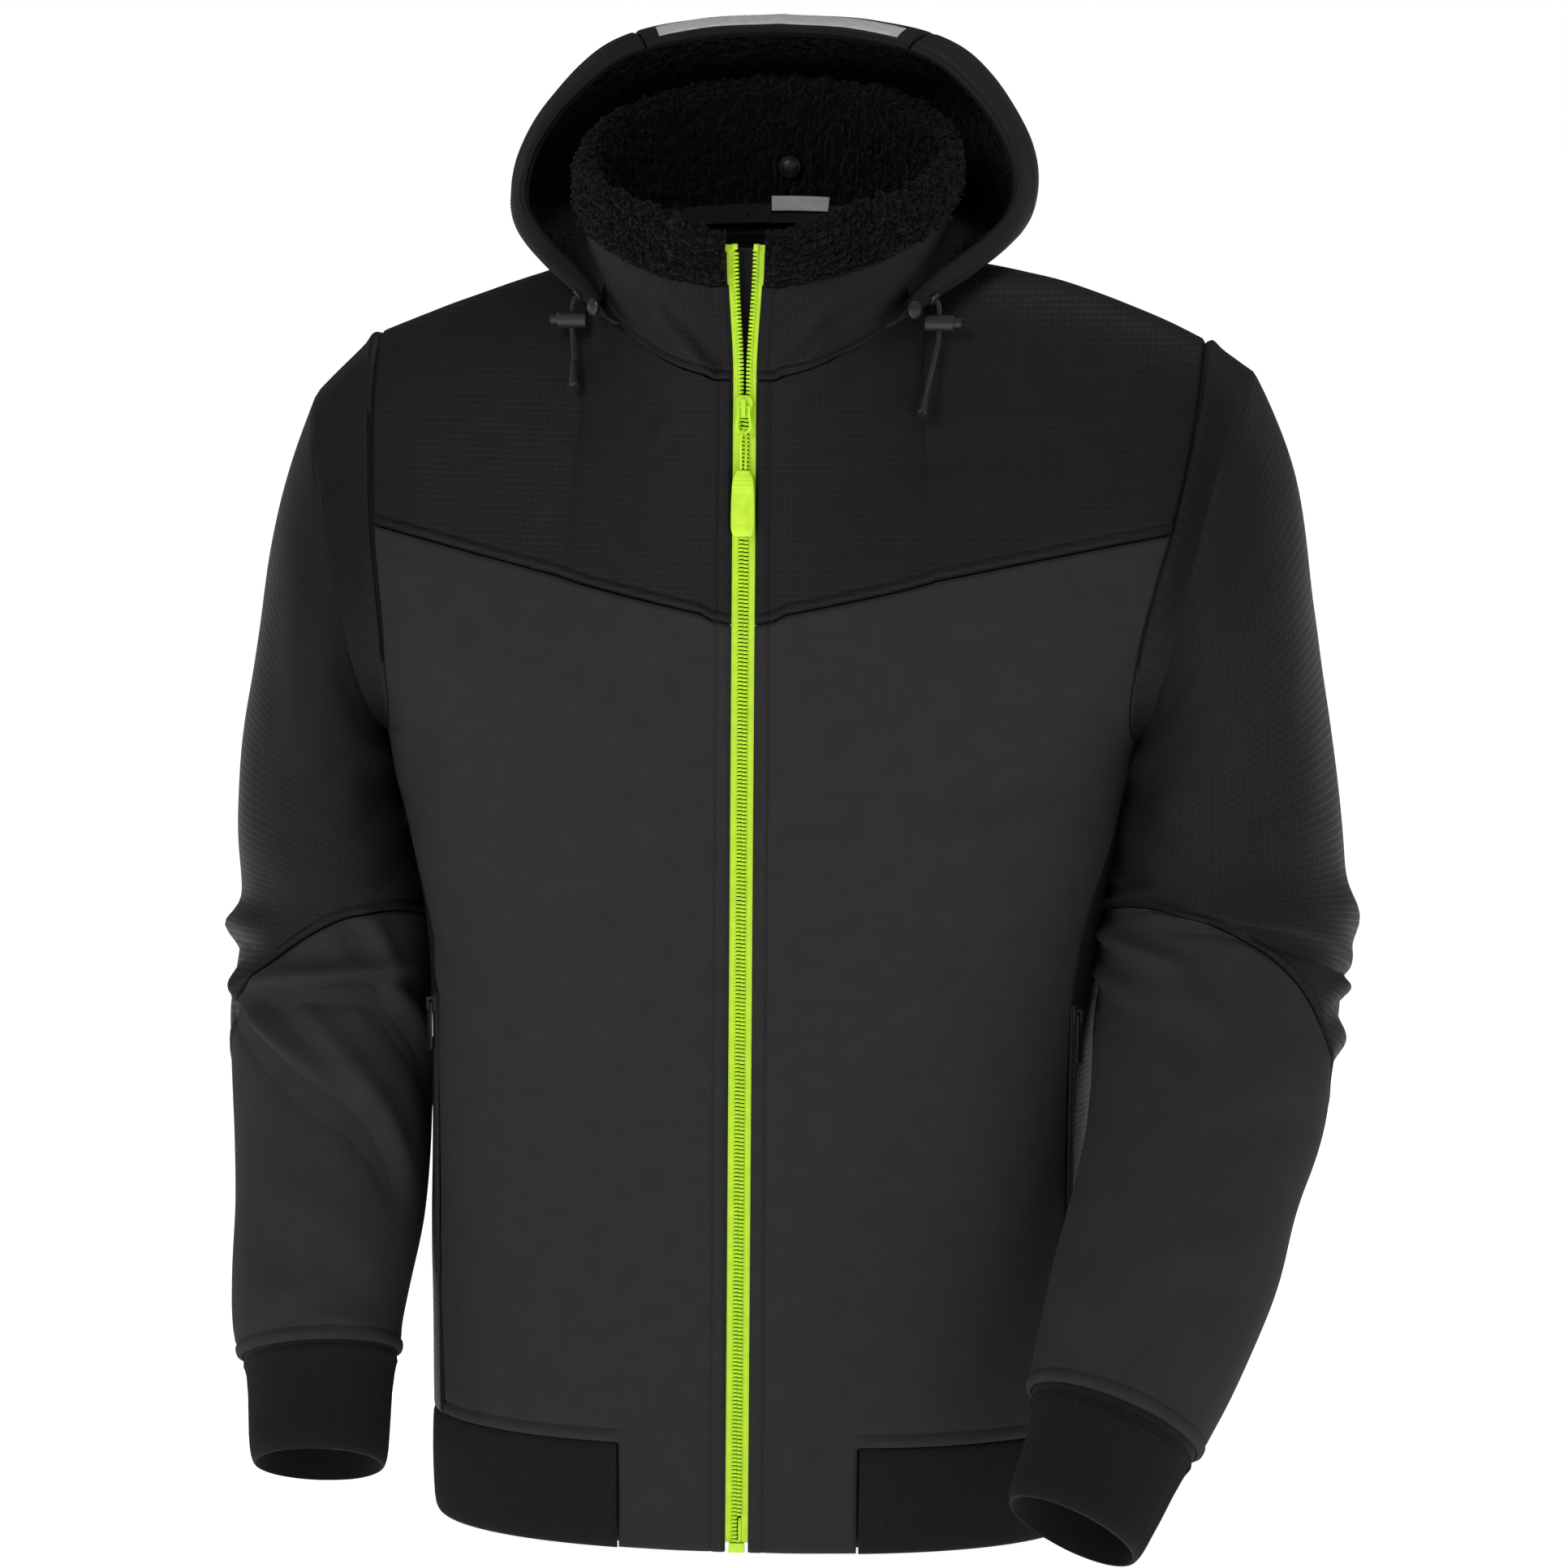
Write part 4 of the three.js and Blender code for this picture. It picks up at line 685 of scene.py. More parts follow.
def rib_cloth():
    """Rib knit: V-shaped stitches up every rib, in bump and in painted shade between the loops. The ribs
    themselves are in the mesh.
    """
    tone = 0.0125
    material, shader = new_material("rib_knit", (tone, tone, tone), 0.9, 0, 0.04, 0.12)
    g = Graph(material)
    uv, u, v = cloth_coordinates(g)
    zigzag = g.math("ABSOLUTE", g.math("SUBTRACT", g.math("FRACT", g.math("DIVIDE", u, 1.15)), 0.5))
    slanted = g.math("ADD", v, g.math("MULTIPLY", zigzag, 1.3))
    loops = g.math("SINE", g.math("MULTIPLY", slanted, 2 * math.pi / 1.2))
    fuzz = g.noise(uv, 2.5, 3, 0.6)
    # The colour is a random fuzz tone plus painted shade in the dips between the stitch loops.
    shade = g.ramp(g.math("ADD", g.math("MULTIPLY", loops, 0.25), fuzz), 0, 1, 0.2, 0.9)
    g.link(g.mix(shade, grey(tone * 0.8), grey(tone * 1.25)), shader.inputs["Base Color"])
    g.link(g.bump(g.math("ADD", loops, fuzz), 0.4, 0.00015), shader.inputs["Normal"])
    return material


def moulded(name, color, roughness, metallic=0.0, grain=0.00002, scale=900.0, spread_by=0.08):
    """Plastic, rubber or metal with a fine grain, uneven gloss and slightly rubbed high spots."""
    material, shader = new_material(name, color, roughness, metallic)
    g = Graph(material)
    place = g.add("ShaderNodeTexCoord").outputs["Object"]
    fine = g.noise(place, scale, 3, 0.6)
    broad = g.noise(place, scale * 0.12, 2, 0.5)
    dark = (*[c * 0.9 for c in color], 1)
    light = (*[min(c * 1.1, 1) for c in color], 1)
    g.link(g.mix(g.ramp(broad, 0, 1, 0.3, 0.7), dark, light), shader.inputs["Base Color"])
    g.link(g.ramp(fine, roughness - spread_by, roughness + spread_by, 0.3, 0.7), shader.inputs["Roughness"])
    g.link(g.bump(fine, 0.5, grain), shader.inputs["Normal"])
    return material


def braid():
    """Braided cord: crossing diagonal strands round the cord, with painted shade in the grooves between them
    and painted light on the strands.
    """
    tone = 0.008
    material, shader = new_material("drawcord", (tone, tone, tone), 0.7, 0, 0.2, 0.35)
    g = Graph(material)
    place = g.add("ShaderNodeTexCoord").outputs["Object"]
    parts = g.add("ShaderNodeSeparateXYZ", {0: place})
    up = g.math("MULTIPLY", parts.outputs[2], 5200)
    lean = g.math("MULTIPLY", g.math("ADD", parts.outputs[0], parts.outputs[1]), 4200)
    one = g.math("SINE", g.math("ADD", up, lean))
    two = g.math("SINE", g.math("SUBTRACT", up, lean))
    height = g.math("MAXIMUM", one, two)
    # The colour follows the strand height: painted shade in the grooves, painted light on the strand tops.
    shade = g.ramp(height, 0, 1, -0.5, 1)
    g.link(g.mix(shade, grey(tone * 0.6), grey(tone * 1.8)), shader.inputs["Base Color"])
    g.link(g.bump(height, 0.6, 0.0001), shader.inputs["Normal"])
    return material


NEON = (0.62, 1.0, 0.03)
softshell = woven("softshell", 0.031, 0.84, 0.02, 0.9, 0.05, specular=0.05)
facing_cloth = woven("facing", 0.0085, 0.8, 0.02, 0.8, 0.04, specular=0.15)
fleece = woven("lining_fleece", 0.011, 0.95, 0.3, 1.6, 0.2)
tape_cloth = woven("webbing", 0.007, 0.75, 0.1, 1.6, 0.3)
thread = woven("thread", 0.012, 0.6, 0.02, 0.5, 0.02, specular=0.25)
dark_thread = woven("dark_thread", 0.005, 0.6, 0.02, 0.5, 0.02, specular=0.25)
ripstop = ripstop_cloth()
sherpa = pile_cloth("sherpa", 0.0062)
rib_knit = rib_cloth()
cord_braid = braid()
neon_tape = moulded("zip_tape", NEON, 0.55, 0, 0.00006, 1400)
neon_metal = moulded("zip_metal", NEON, 0.32)
gunmetal = moulded("gunmetal", (0.022, 0.022, 0.023), 0.36, 0.25)
black_plastic = moulded("black_plastic", (0.012, 0.012, 0.013), 0.42)
neon_rubber = moulded("pull_rubber", NEON, 0.5, 0, 0.00005, 1100)
reflective = moulded("reflective", (0.6, 0.6, 0.6), 0.4, 0, 0.00008, 1500)
label_cloth = moulded("label", (0.55, 0.55, 0.54), 0.8, 0, 0.0001, 1200)


# ---- Camera ----

AZIMUTH, ELEVATION, ROLL = math.radians(6), math.radians(6), math.radians(0.34)
TARGET = Vector((0.008, -0.02, -0.262))
DISTANCE = 4.0
camera = bpy.data.objects.new("camera", bpy.data.cameras.new("camera"))
toward = Vector((
    math.sin(AZIMUTH) * math.cos(ELEVATION), -math.cos(AZIMUTH) * math.cos(ELEVATION), math.sin(ELEVATION),
))
camera.location = TARGET + toward * DISTANCE
facing = toward.to_track_quat("Z", "Y").to_matrix()
camera.rotation_euler = (facing @ Matrix.Rotation(ROLL, 3, "Z")).to_euler()
camera.data.sensor_width = 36
camera.data.lens = 160
camera.data.shift_x = 0.006
camera.data.shift_y = -0.013
camera.data.clip_end = 50
bpy.context.scene.collection.objects.link(camera)
bpy.context.scene.camera = camera

# ---- Drawcords and what is on them ----

CORD_DIAMETER = 0.0025
CORD_START = [
    (101.5, -60.1, 706.2), (102.5, -60.6, 705.5), (103.4, -61.1, 704.2), (104, -61.5, 702.3),
    (104.2, -61.8, 700), (104.2, -62, 697.5), (104.2, -62, 695), (104.2, -62, 692.4),
    (104.2, -62.1, 689.8), (104.1, -62.4, 687), (103.8, -63.3, 683.6), (103.3, -64.9, 679.9),
    (102.7, -67, 676.2),
]
CORD_LAST = {
    RIGHT: [(102.3, -68.9, 673), (102, -70.6, 670)],
    LEFT: [
        (102, -69.4, 672.4), (101.3, -72.2, 668.4), (100.5, -75, 664.4), (99.7, -77.6, 660.5),
        (99.1, -79.9, 656.9),
    ],
}
for side_name, side in SIDES:
    stations = CORD_START + CORD_LAST[side]
    route = [(side * x / 1000, y / 1000, (z - NECK_HEIGHT) / 1000) for x, y, z in stations]
    data = bpy.data.curves.new(f"cord_{side_name}", "CURVE")
    data.dimensions = "3D"
    data.bevel_depth = CORD_DIAMETER / 2
    data.bevel_resolution = 4
    data.use_fill_caps = True
    line = data.splines.new("POLY")
    dense = []
    for k in range(len(route) - 1):
        a, b, c, d = (Vector(route[min(max(k + o, 0), len(route) - 1)]) for o in (-1, 0, 1, 2))
        for t in (0, 0.25, 0.5, 0.75):
            dense.append(0.5 * (
                2 * b + (c - a) * t + (2 * a - 5 * b + 4 * c - d) * t * t + (3 * b - a - 3 * c + d) * t ** 3
            ))
    dense.append(Vector(route[-1]))
    line.points.add(len(dense) - 1)
    for spot, where in zip(line.points, dense):
        spot.co = (*where, 1)
    data.materials.append(cord_braid)
    cord = bpy.data.objects.new(f"cord_{side_name}", data)
    bpy.context.scene.collection.objects.link(cord)
    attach(cord, "coat")
    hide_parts(f"drawcord_{side_name}")

# ---- Fronts ----

ZIP_EDGE, FLAT_EDGE, RIB_HEIGHT, TAB_EDGE = 6.5, 17.0, 60.0, 68.5
SIDE_GAP = 0.006
SEAM_GAP = 0.0001
EDGE_STITCH = 8.2
SHARE_FROM = 0.06


def front_grid(side, columns_x, shares, height_of):
    """Points of a front: the flat strip beside the zip, then round to the side seam.
    height_of(share) gives the heights of every row for a column's share."""
    strips = []
    for x in columns_x:
        heights = height_of(0.02 * (x - ZIP_EDGE) / (FLAT_EDGE - ZIP_EDGE))
        strips.append(front_strip(side, x, heights))
    for share in shares:
        heights = height_of(share)
        p = torso(side, FRONT, share * (edge_angle(heights) - SIDE_GAP), heights)
        flat = -front_depth(p[:, 2])
        p[:, 1] = lerp(flat, p[:, 1], smoothstep(share, 0.03, 0.2))
        strips.append(p)
    return np.stack(strips, axis=1)


STRIP_X = np.array([6.5, 7, 7.8, 9, 10.5, 12, 13.2, 14, 14.4, 14.8, 15.2, 16, 17])
SHARES = spread(SHARE_FROM, 1, 84, scale=1 / 225)[3:]


def front_folds(side, p):
    """The creases of a front, from its plain coordinates."""
    x, z = side * p[..., 0], p[..., 2]
    if side == RIGHT:
        found = folds(
            x, z, ((205, 440), 100, 90, 9, 2.2), ((165, 250), 62, 170, 20, 1.4), ((176, 318), 30, 80, 9, 1.6),
        )
    else:
        found = folds(
            x, z, ((150, 413), 8, 110, 12, 2.6), ((170, 380), 35, 110, 14, 1.8),
            ((150, 220), 100, 220, 26, 1.5),
        )
    soft = smoothstep(x, 22, 60)
    return found * soft + drape(x, z, 62, 1.1, 5 + side) * soft


panel_edges = {}
for side_name, side in SIDES:
    low_rows = np.sort(np.concatenate([
        [0.5, 1, 1.8, 3, 8, 16, 28, 42, 52, 57, 58.4, 59.3, 60, 60.5, 61.3, 62.6, 65, 67.4, 68, 68.6, 70, 74],
        np.linspace(80, UNDERARM, 92),
    ]))
    upper = np.sort(np.concatenate([np.linspace(0, 1, 26)[1:], 1 - np.array([0.5, 1.3, 2.6]) / 110]))

    def panel_heights(share, side=side, low_rows=low_rows, upper=upper):
        seam = float(yoke_seam(side, FRONT, np.array(share))) - 0.8
        return np.concatenate([low_rows, UNDERARM + (seam - UNDERARM) * upper])

    p = front_grid(side, STRIP_X, SHARES, panel_heights)
    across = arc_lengths(p)[0]
    middle = 0.5 * (p[:-1, :-1] + p[1:, 1:])
    keep = (middle[..., 2] > RIB_HEIGHT) | (np.abs(middle[..., 0]) < TAB_EDGE)
    from_hem = np.where(np.abs(p[..., 0]) < TAB_EDGE, 1e9, np.abs(p[..., 2] - RIB_HEIGHT))
    from_tab = np.where(p[..., 2] < RIB_HEIGHT + 4, np.abs(np.abs(p[..., 0]) - 68), 1e9)
    rim = rim_distance(p, sides="lrbt")
    rim = np.minimum(rim, np.minimum(from_hem, from_tab))
    from_zip = rim_distance(p, sides="l")
    relief = front_folds(side, p)
    relief = relief + puffed(from_zip, EDGE_STITCH, 0.9, 0.7) + puffed(from_hem, 8, 0.9, 0.8)
    relief = relief - sunk(rim)
    uv = np.stack([side * across, p[..., 2]], -1)
    outer, n = cloth_piece(
        f"softshell_front_{side_name}", p, softshell, [f"front_panel_{side_name}"],
        relief=relief, outward=body_axis(p), keep=keep, uv=uv,
    )
    panel_edges[side] = (p, outer, n, from_zip)

    def yoke_heights(share, side=side):
        seam = float(yoke_seam(side, FRONT, np.array(share)))
        steps = np.sort(np.concatenate([
            1 - (1 - np.linspace(0, 1, 64)) ** 1.5, np.array([0.5, 1.3, 2.6, 4, 5, 5.6, 6.2, 7]) / 130,
        ]))
        return seam + (SHOULDER - SEAM_GAP - seam) * steps

    p = front_grid(side, STRIP_X, SHARES, yoke_heights)
    across = arc_lengths(p)[0]
    x, z = side * p[..., 0], p[..., 2]
    from_seam = rim_distance(p, sides="b")
    rim = rim_distance(p, sides="lrb")
    if side == RIGHT:
        creases = folds(x, z, ((40, 640), 128, 60, 5, 1.6), ((190, 590), 75, 80, 12, 1.3))
    else:
        creases = folds(
            x, z, ((150, 640), 6, 150, 13, 2.0), ((190, 606), 60, 110, 14, 2.0),
            ((120, 600), 20, 120, 16, 1.2), ((36, 645), 50, 50, 5, 1.3),
        )
    relief = creases * smoothstep(x, 20, 50) + drape(x, z, 55, 0.9, 9 + side) * smoothstep(x, 20, 60)
    relief = relief + puffed(from_seam, 6, 0.9, 0.8)
    relief = relief + puffed(rim_distance(p, sides="l"), EDGE_STITCH, 0.9, 0.7)
    relief = relief - sunk(rim)
    outer, n = cloth_piece(
        f"ripstop_yoke_{side_name}", p, ripstop, [f"front_yoke_{side_name}"],
        relief=relief, outward=body_axis(p), uv=np.stack([side * across, z], -1),
    )
    panel_edges[side, "yoke"] = (p, outer, n, from_seam)


# ---- Back, side panels and lining ----


def back_grid(shares, height_of):
    columns = []
    for share in shares:
        side = RIGHT if share < 0 else LEFT
        heights = height_of(side, abs(share))
        columns.append(torso(side, BACK, abs(share) * (edge_angle(heights) - SIDE_GAP), heights))
    return np.stack(columns, axis=1)


back_shares = spread(-1, 1, 110, scale=1 / 210)


def back_panel_heights(side, share):
    seam = float(yoke_seam(side, BACK, np.array(share))) - 0.8
    low = np.concatenate([[60, 60.5, 61.3, 62.6, 65, 67.4, 68, 68.6, 70], np.linspace(74, UNDERARM, 70)])
    return np.concatenate([low, UNDERARM + (seam - UNDERARM) * np.linspace(0, 1, 20)[1:]])


def back_yoke_heights(side, share):
    seam = float(yoke_seam(side, BACK, np.array(share)))
    steps = np.sort(np.concatenate([
        1 - (1 - np.linspace(0, 1, 46)) ** 1.6, np.array([0.5, 1.3, 2.6, 4, 5, 5.6, 6.2, 7]) / 120,
    ]))
    return seam + (SHOULDER - SEAM_GAP - seam) * steps


p = back_grid(back_shares, back_panel_heights)
x, z = p[..., 0], p[..., 2]
creases = folds(
    x, z, ((0, 150), 2, 300, 22, 1.6), ((-120, 400), 55, 150, 16, 2.0), ((125, 395), 125, 160, 16, 2.2),
    ((30, 250), 12, 240, 26, 1.5), ((-60, 500), 80, 120, 14, 1.2),
)
relief = creases + drape(x, z, 70, 1.4, 21) + puffed(np.abs(z - RIB_HEIGHT), 8, 0.9, 0.8)
relief = relief - sunk(rim_distance(p))
back_outer, back_n = cloth_piece(
    "softshell_back", p, softshell, ["back_panel"], relief=relief,
    outward=body_axis(p), uv=np.stack([x * 1.1, z], -1),
)
p = back_grid(back_shares, back_yoke_heights)
x, z = p[..., 0], p[..., 2]
from_seam = rim_distance(p, sides="b")
relief = drape(x, z, 60, 1.0, 25) + puffed(from_seam, 6, 0.9, 0.8)
relief = relief + folds(x, z, ((-150, 610), 100, 100, 14, 1.5), ((150, 612), 80, 110, 14, 1.5))
relief = relief - sunk(rim_distance(p, sides="lrb"))
yoke_back_outer, yoke_back_n = cloth_piece(
    "ripstop_back_yoke", p, ripstop, ["back_yoke"], relief=relief,
    outward=body_axis(p), uv=np.stack([x * 1.1, z], -1),
)


def round_body(side, degrees, heights):
    """Points round one side of the torso from 0 at the centre front to 180 at the centre back."""
    columns = []
    for value in degrees:
        face = FRONT if value <= 90 else BACK
        angle = math.radians(min(value, 180 - value))
        columns.append(torso(side, face, np.full(len(heights), angle), heights))
    return np.stack(columns, axis=1)


for side_name, side in SIDES:
    heights = spread(60, UNDERARM - 1, 70)
    columns = []
    for around in spread(0, 1, 22, scale=1 / 80):
        edge = edge_angle(heights) + SIDE_GAP
        angle = lerp(edge, np.pi - edge, around)
        front = torso(side, FRONT, np.minimum(angle, np.pi - angle), heights)
        back = torso(side, BACK, np.minimum(angle, np.pi - angle), heights)
        columns.append(np.where((angle > np.pi / 2)[:, None], back, front))
    p = np.stack(columns, axis=1)
    y, z = p[..., 1], p[..., 2]
    relief = drape(y, z, 50, 1.0, 31 + side) + folds(y, z, ((10, 300), 75, 160, 12, 1.6))
    relief = relief - sunk(rim_distance(p))
    cloth_piece(
        f"ripstop_side_{side_name}", p, ripstop, [f"side_panel_{side_name}"], relief=relief,
        outward=body_axis(p), uv=np.stack([y, z], -1),
    )

LINING_HEIGHTS = np.concatenate([np.linspace(3, UNDERARM, 44), np.linspace(UNDERARM, 603, 20)[1:]])


def lining_angle(heights, share):
    whole = np.where(heights > UNDERARM, armhole_angle(heights), np.pi / 2)
    low = lerp(whole, math.radians(83.7), smoothstep(heights, UNDERARM - 35, UNDERARM))
    return share * np.where(heights > UNDERARM, whole, low)


lining_shares = np.linspace(0.14, 0.96, 34)
for side_name, side in SIDES:
    strips = [front_strip(side, x, LINING_HEIGHTS) for x in (8, 12, 17)]
    strips += [torso(side, FRONT, lining_angle(LINING_HEIGHTS, s), LINING_HEIGHTS) for s in lining_shares]
    p = np.stack(strips, axis=1)
    cloth_piece(
        f"lining_front_{side_name}", p, fleece, [f"front_lining_{side_name}"], LINING_OUT,
        LINING_IN, drape(p[..., 0], p[..., 2], 45, 0.3, 41), outward=body_axis(p),
    )
both_shares = np.concatenate([-lining_shares[::-1], np.linspace(-0.12, 0.12, 11), lining_shares])
strips = []
for share in both_shares:
    side = RIGHT if share < 0 else LEFT
    strips.append(torso(side, BACK, lining_angle(LINING_HEIGHTS, abs(share)), LINING_HEIGHTS))
p = np.stack(strips, axis=1)
cloth_piece(
    "lining_back", p, fleece, ["back_lining"], LINING_OUT, LINING_IN,
    drape(p[..., 0], p[..., 2], 45, 0.3, 43), outward=body_axis(p),
)

# ---- Rib knit hem ----

RIB_PITCH = 1.15
RIB_ROWS = np.array([0, 0.5, 1.4, 3, 8, 16, 26, 36, 46, 53, 56.5, 58, 59.2, 60.6])


def ribbed(p, closed, heights_share):
    """Upright knitted ribs, a rounded fold at the low edge and a slight swell between the edges."""
    lengths = np.linalg.norm(np.diff(p[len(p) // 2], axis=0), axis=1)
    along = np.concatenate([[0], np.cumsum(lengths)])
    if closed:
        total = along[-1] + np.linalg.norm(p[len(p) // 2, 0] - p[len(p) // 2, -1])
        pitch = total / round(total / RIB_PITCH)
    else:
        pitch = RIB_PITCH
    wave = np.abs(np.sin(np.pi * along / pitch)) ** 0.7
    u = np.broadcast_to(along, p.shape[:2])
    v = np.concatenate([[0], np.cumsum(np.linalg.norm(np.diff(p[:, 0], axis=0), axis=1))])
    uv = np.stack([u, np.broadcast_to(v[:, None], p.shape[:2])], -1)
    swell = 1.1 * np.sin(np.pi * heights_share) ** 0.8
    fade = np.clip(heights_share * 14, 0, 1) * np.clip((1 - heights_share) * 14, 0, 1)
    roll = 1.6 * (1 - np.sqrt(fade))
    return 0.55 * wave[None, :] * (0.35 + 0.65 * fade[:, None]) + (swell - roll)[:, None] - 0.4, uv


def hem_rib(name, node, p):
    share = RIB_ROWS / RIB_ROWS[-1]
    relief, uv = ribbed(p, False, share)
    wave_lines = 0.5 * noise(p[..., 0] / 40, p[..., 1] / 40, 51)
    cloth_piece(
        name, p, rib_knit, [node], SHELL, -1,
        relief + wave_lines * np.sin(np.pi * share)[:, None], outward=(0, 0, 30), uv=uv,
    )


for side_name, side in SIDES:
    p = round_body(side, np.linspace(18.45, 118, 1350), RIB_ROWS)
    p[..., 2] = RIB_ROWS[:, None]
    hem_rib(f"rib_hem_{side_name}", f"hem_rib_{side_name}", p)
rear = np.concatenate([
    round_body(RIGHT, np.linspace(118.5, 179.95, 640), RIB_ROWS),
    round_body(LEFT, np.linspace(118.5, 179.95, 640), RIB_ROWS)[:, ::-1],
], axis=1)
rear[..., 2] = RIB_ROWS[:, None]
hem_rib("rib_hem_back", "hem_rib_back", rear)

# ---- Sleeves ----

FINE_TURNS = np.radians(-90 + np.arange(150) * 2.4)
ELBOW_FOLDS = {
    RIGHT: (
        ((0, 281), 7, 150, 6, 5.2), ((20, 312), -33, 130, 6, 5.0), ((-28, 332), -45, 130, 7, 4.6),
        ((-38, 262), -70, 70, 7, 3.0), ((70, 258), 5, 90, 8, 4.2), ((-60, 300), -38, 110, 7, 3.4),
        ((-10, 385), -20, 110, 12, 1.6), ((100, 262), -10, 80, 9, 3.6), ((140, 280), 15, 90, 10, 3.0),
    ),
    LEFT: (
        ((-50, 268), 30, 110, 7, 4.2), ((-62, 225), -20, 80, 8, 2.6), ((-20, 300), 30, 120, 10, 1.8),
        ((88, 275), -20, 70, 7, 3.4), ((96, 300), -10, 60, 8, 3.0), ((-66, 285), 36, 90, 6, 3.0),
        ((100, 240), 12, 90, 9, 2.8), ((140, 262), -12, 90, 10, 2.0), ((40, 330), -24, 110, 12, 1.6),
    ),
}
ARM_FOLDS = {
    RIGHT: (
        ((-45, 120), 62, 130, 12, 2.6), ((-58, 165), 48, 110, 10, 2.2), ((0, 100), 78, 140, 16, 2.0),
        ((50, 170), 84, 150, 18, 1.6), ((-60, 210), 30, 90, 9, 2.0), ((120, 120), 100, 130, 16, 2.0),
        ((10, 420), 20, 90, 10, 1.4), ((-30, 440), -14, 80, 8, 1.3),
    ),
    LEFT: (
        ((-45, 120), 66, 140, 12, 2.6), ((-52, 170), 56, 120, 11, 2.4), ((5, 90), 80, 150, 17, 2.0),
        ((45, 160), 88, 160, 18, 1.8), ((-60, 205), 34, 90, 9, 1.8), ((120, 120), 100, 130, 16, 2.0),
        ((20, 415), -18, 100, 11, 1.8), ((-30, 438), 16, 80, 8, 1.3), ((60, 440), 8, 90, 9, 1.6),
    ),
}


def sleeve_grid(side, low, high, shares):
    """Rings of the sleeve between two stations, each a number or one value for every turn."""
    turns = FINE_TURNS[None, :]
    at = low + (high - low) * shares[:, None] + np.zeros_like(turns)
    near, underarm = (1.5, 4.0) if side == RIGHT else (3.5, 8.5)
    inner_side = np.clip(-np.sin(turns), 0, 1) ** 5
    span = smoothstep(at, 0.2, 1.2) * (1 - smoothstep(at, 6.2, 7.2))
    press = inner_side * span * (near + underarm * np.exp(-(((at - 2.3) / 1.3) ** 2)))
    return sleeve(side, at, turns) - stack(side * press, 0, 0), at


def around_arm(at, turns):
    """Flat coordinates of the sleeve's cloth: round the arm and along it, in millimetres."""
    a = np.degrees(turns)
    a = np.where(a > 180, a - 360, a)
    return np.broadcast_to(a, at.shape) * 0.98, at * 42


def end_distances(p):
    """Millimetres from the first and the last ring of a sleeve piece."""
    steps = np.linalg.norm(np.diff(p, axis=0), axis=2)
    climbed = np.concatenate([np.zeros((1, p.shape[1])), np.cumsum(steps, axis=0)])
    return climbed, climbed[-1:] - climbed


def overhang(a, b):
    """The upper part of the bent arm sags over the elbow and ends in a sharp fold."""
    below = b - (249 + 0.12 * (a + 20))
    swell = 7 * smoothstep(below, -46, -3) * (1 - smoothstep(below, -3, 4))
    pinch = 3 * np.exp(-(((below - 7) / 6) ** 2))
    return (swell - pinch) * smoothstep(a, -42, -12) * (1 - smoothstep(a, 100, 135))


def arm_relief(side, a, b):
    relief = 1.3 * folds(a, b, *ARM_FOLDS[side]) + 1.8 * folds(a, b, *ELBOW_FOLDS[side])
    relief = relief + drape(a, b, 44, 1.3, 61 + side)
    return relief + overhang(a, b) if side == LEFT else relief


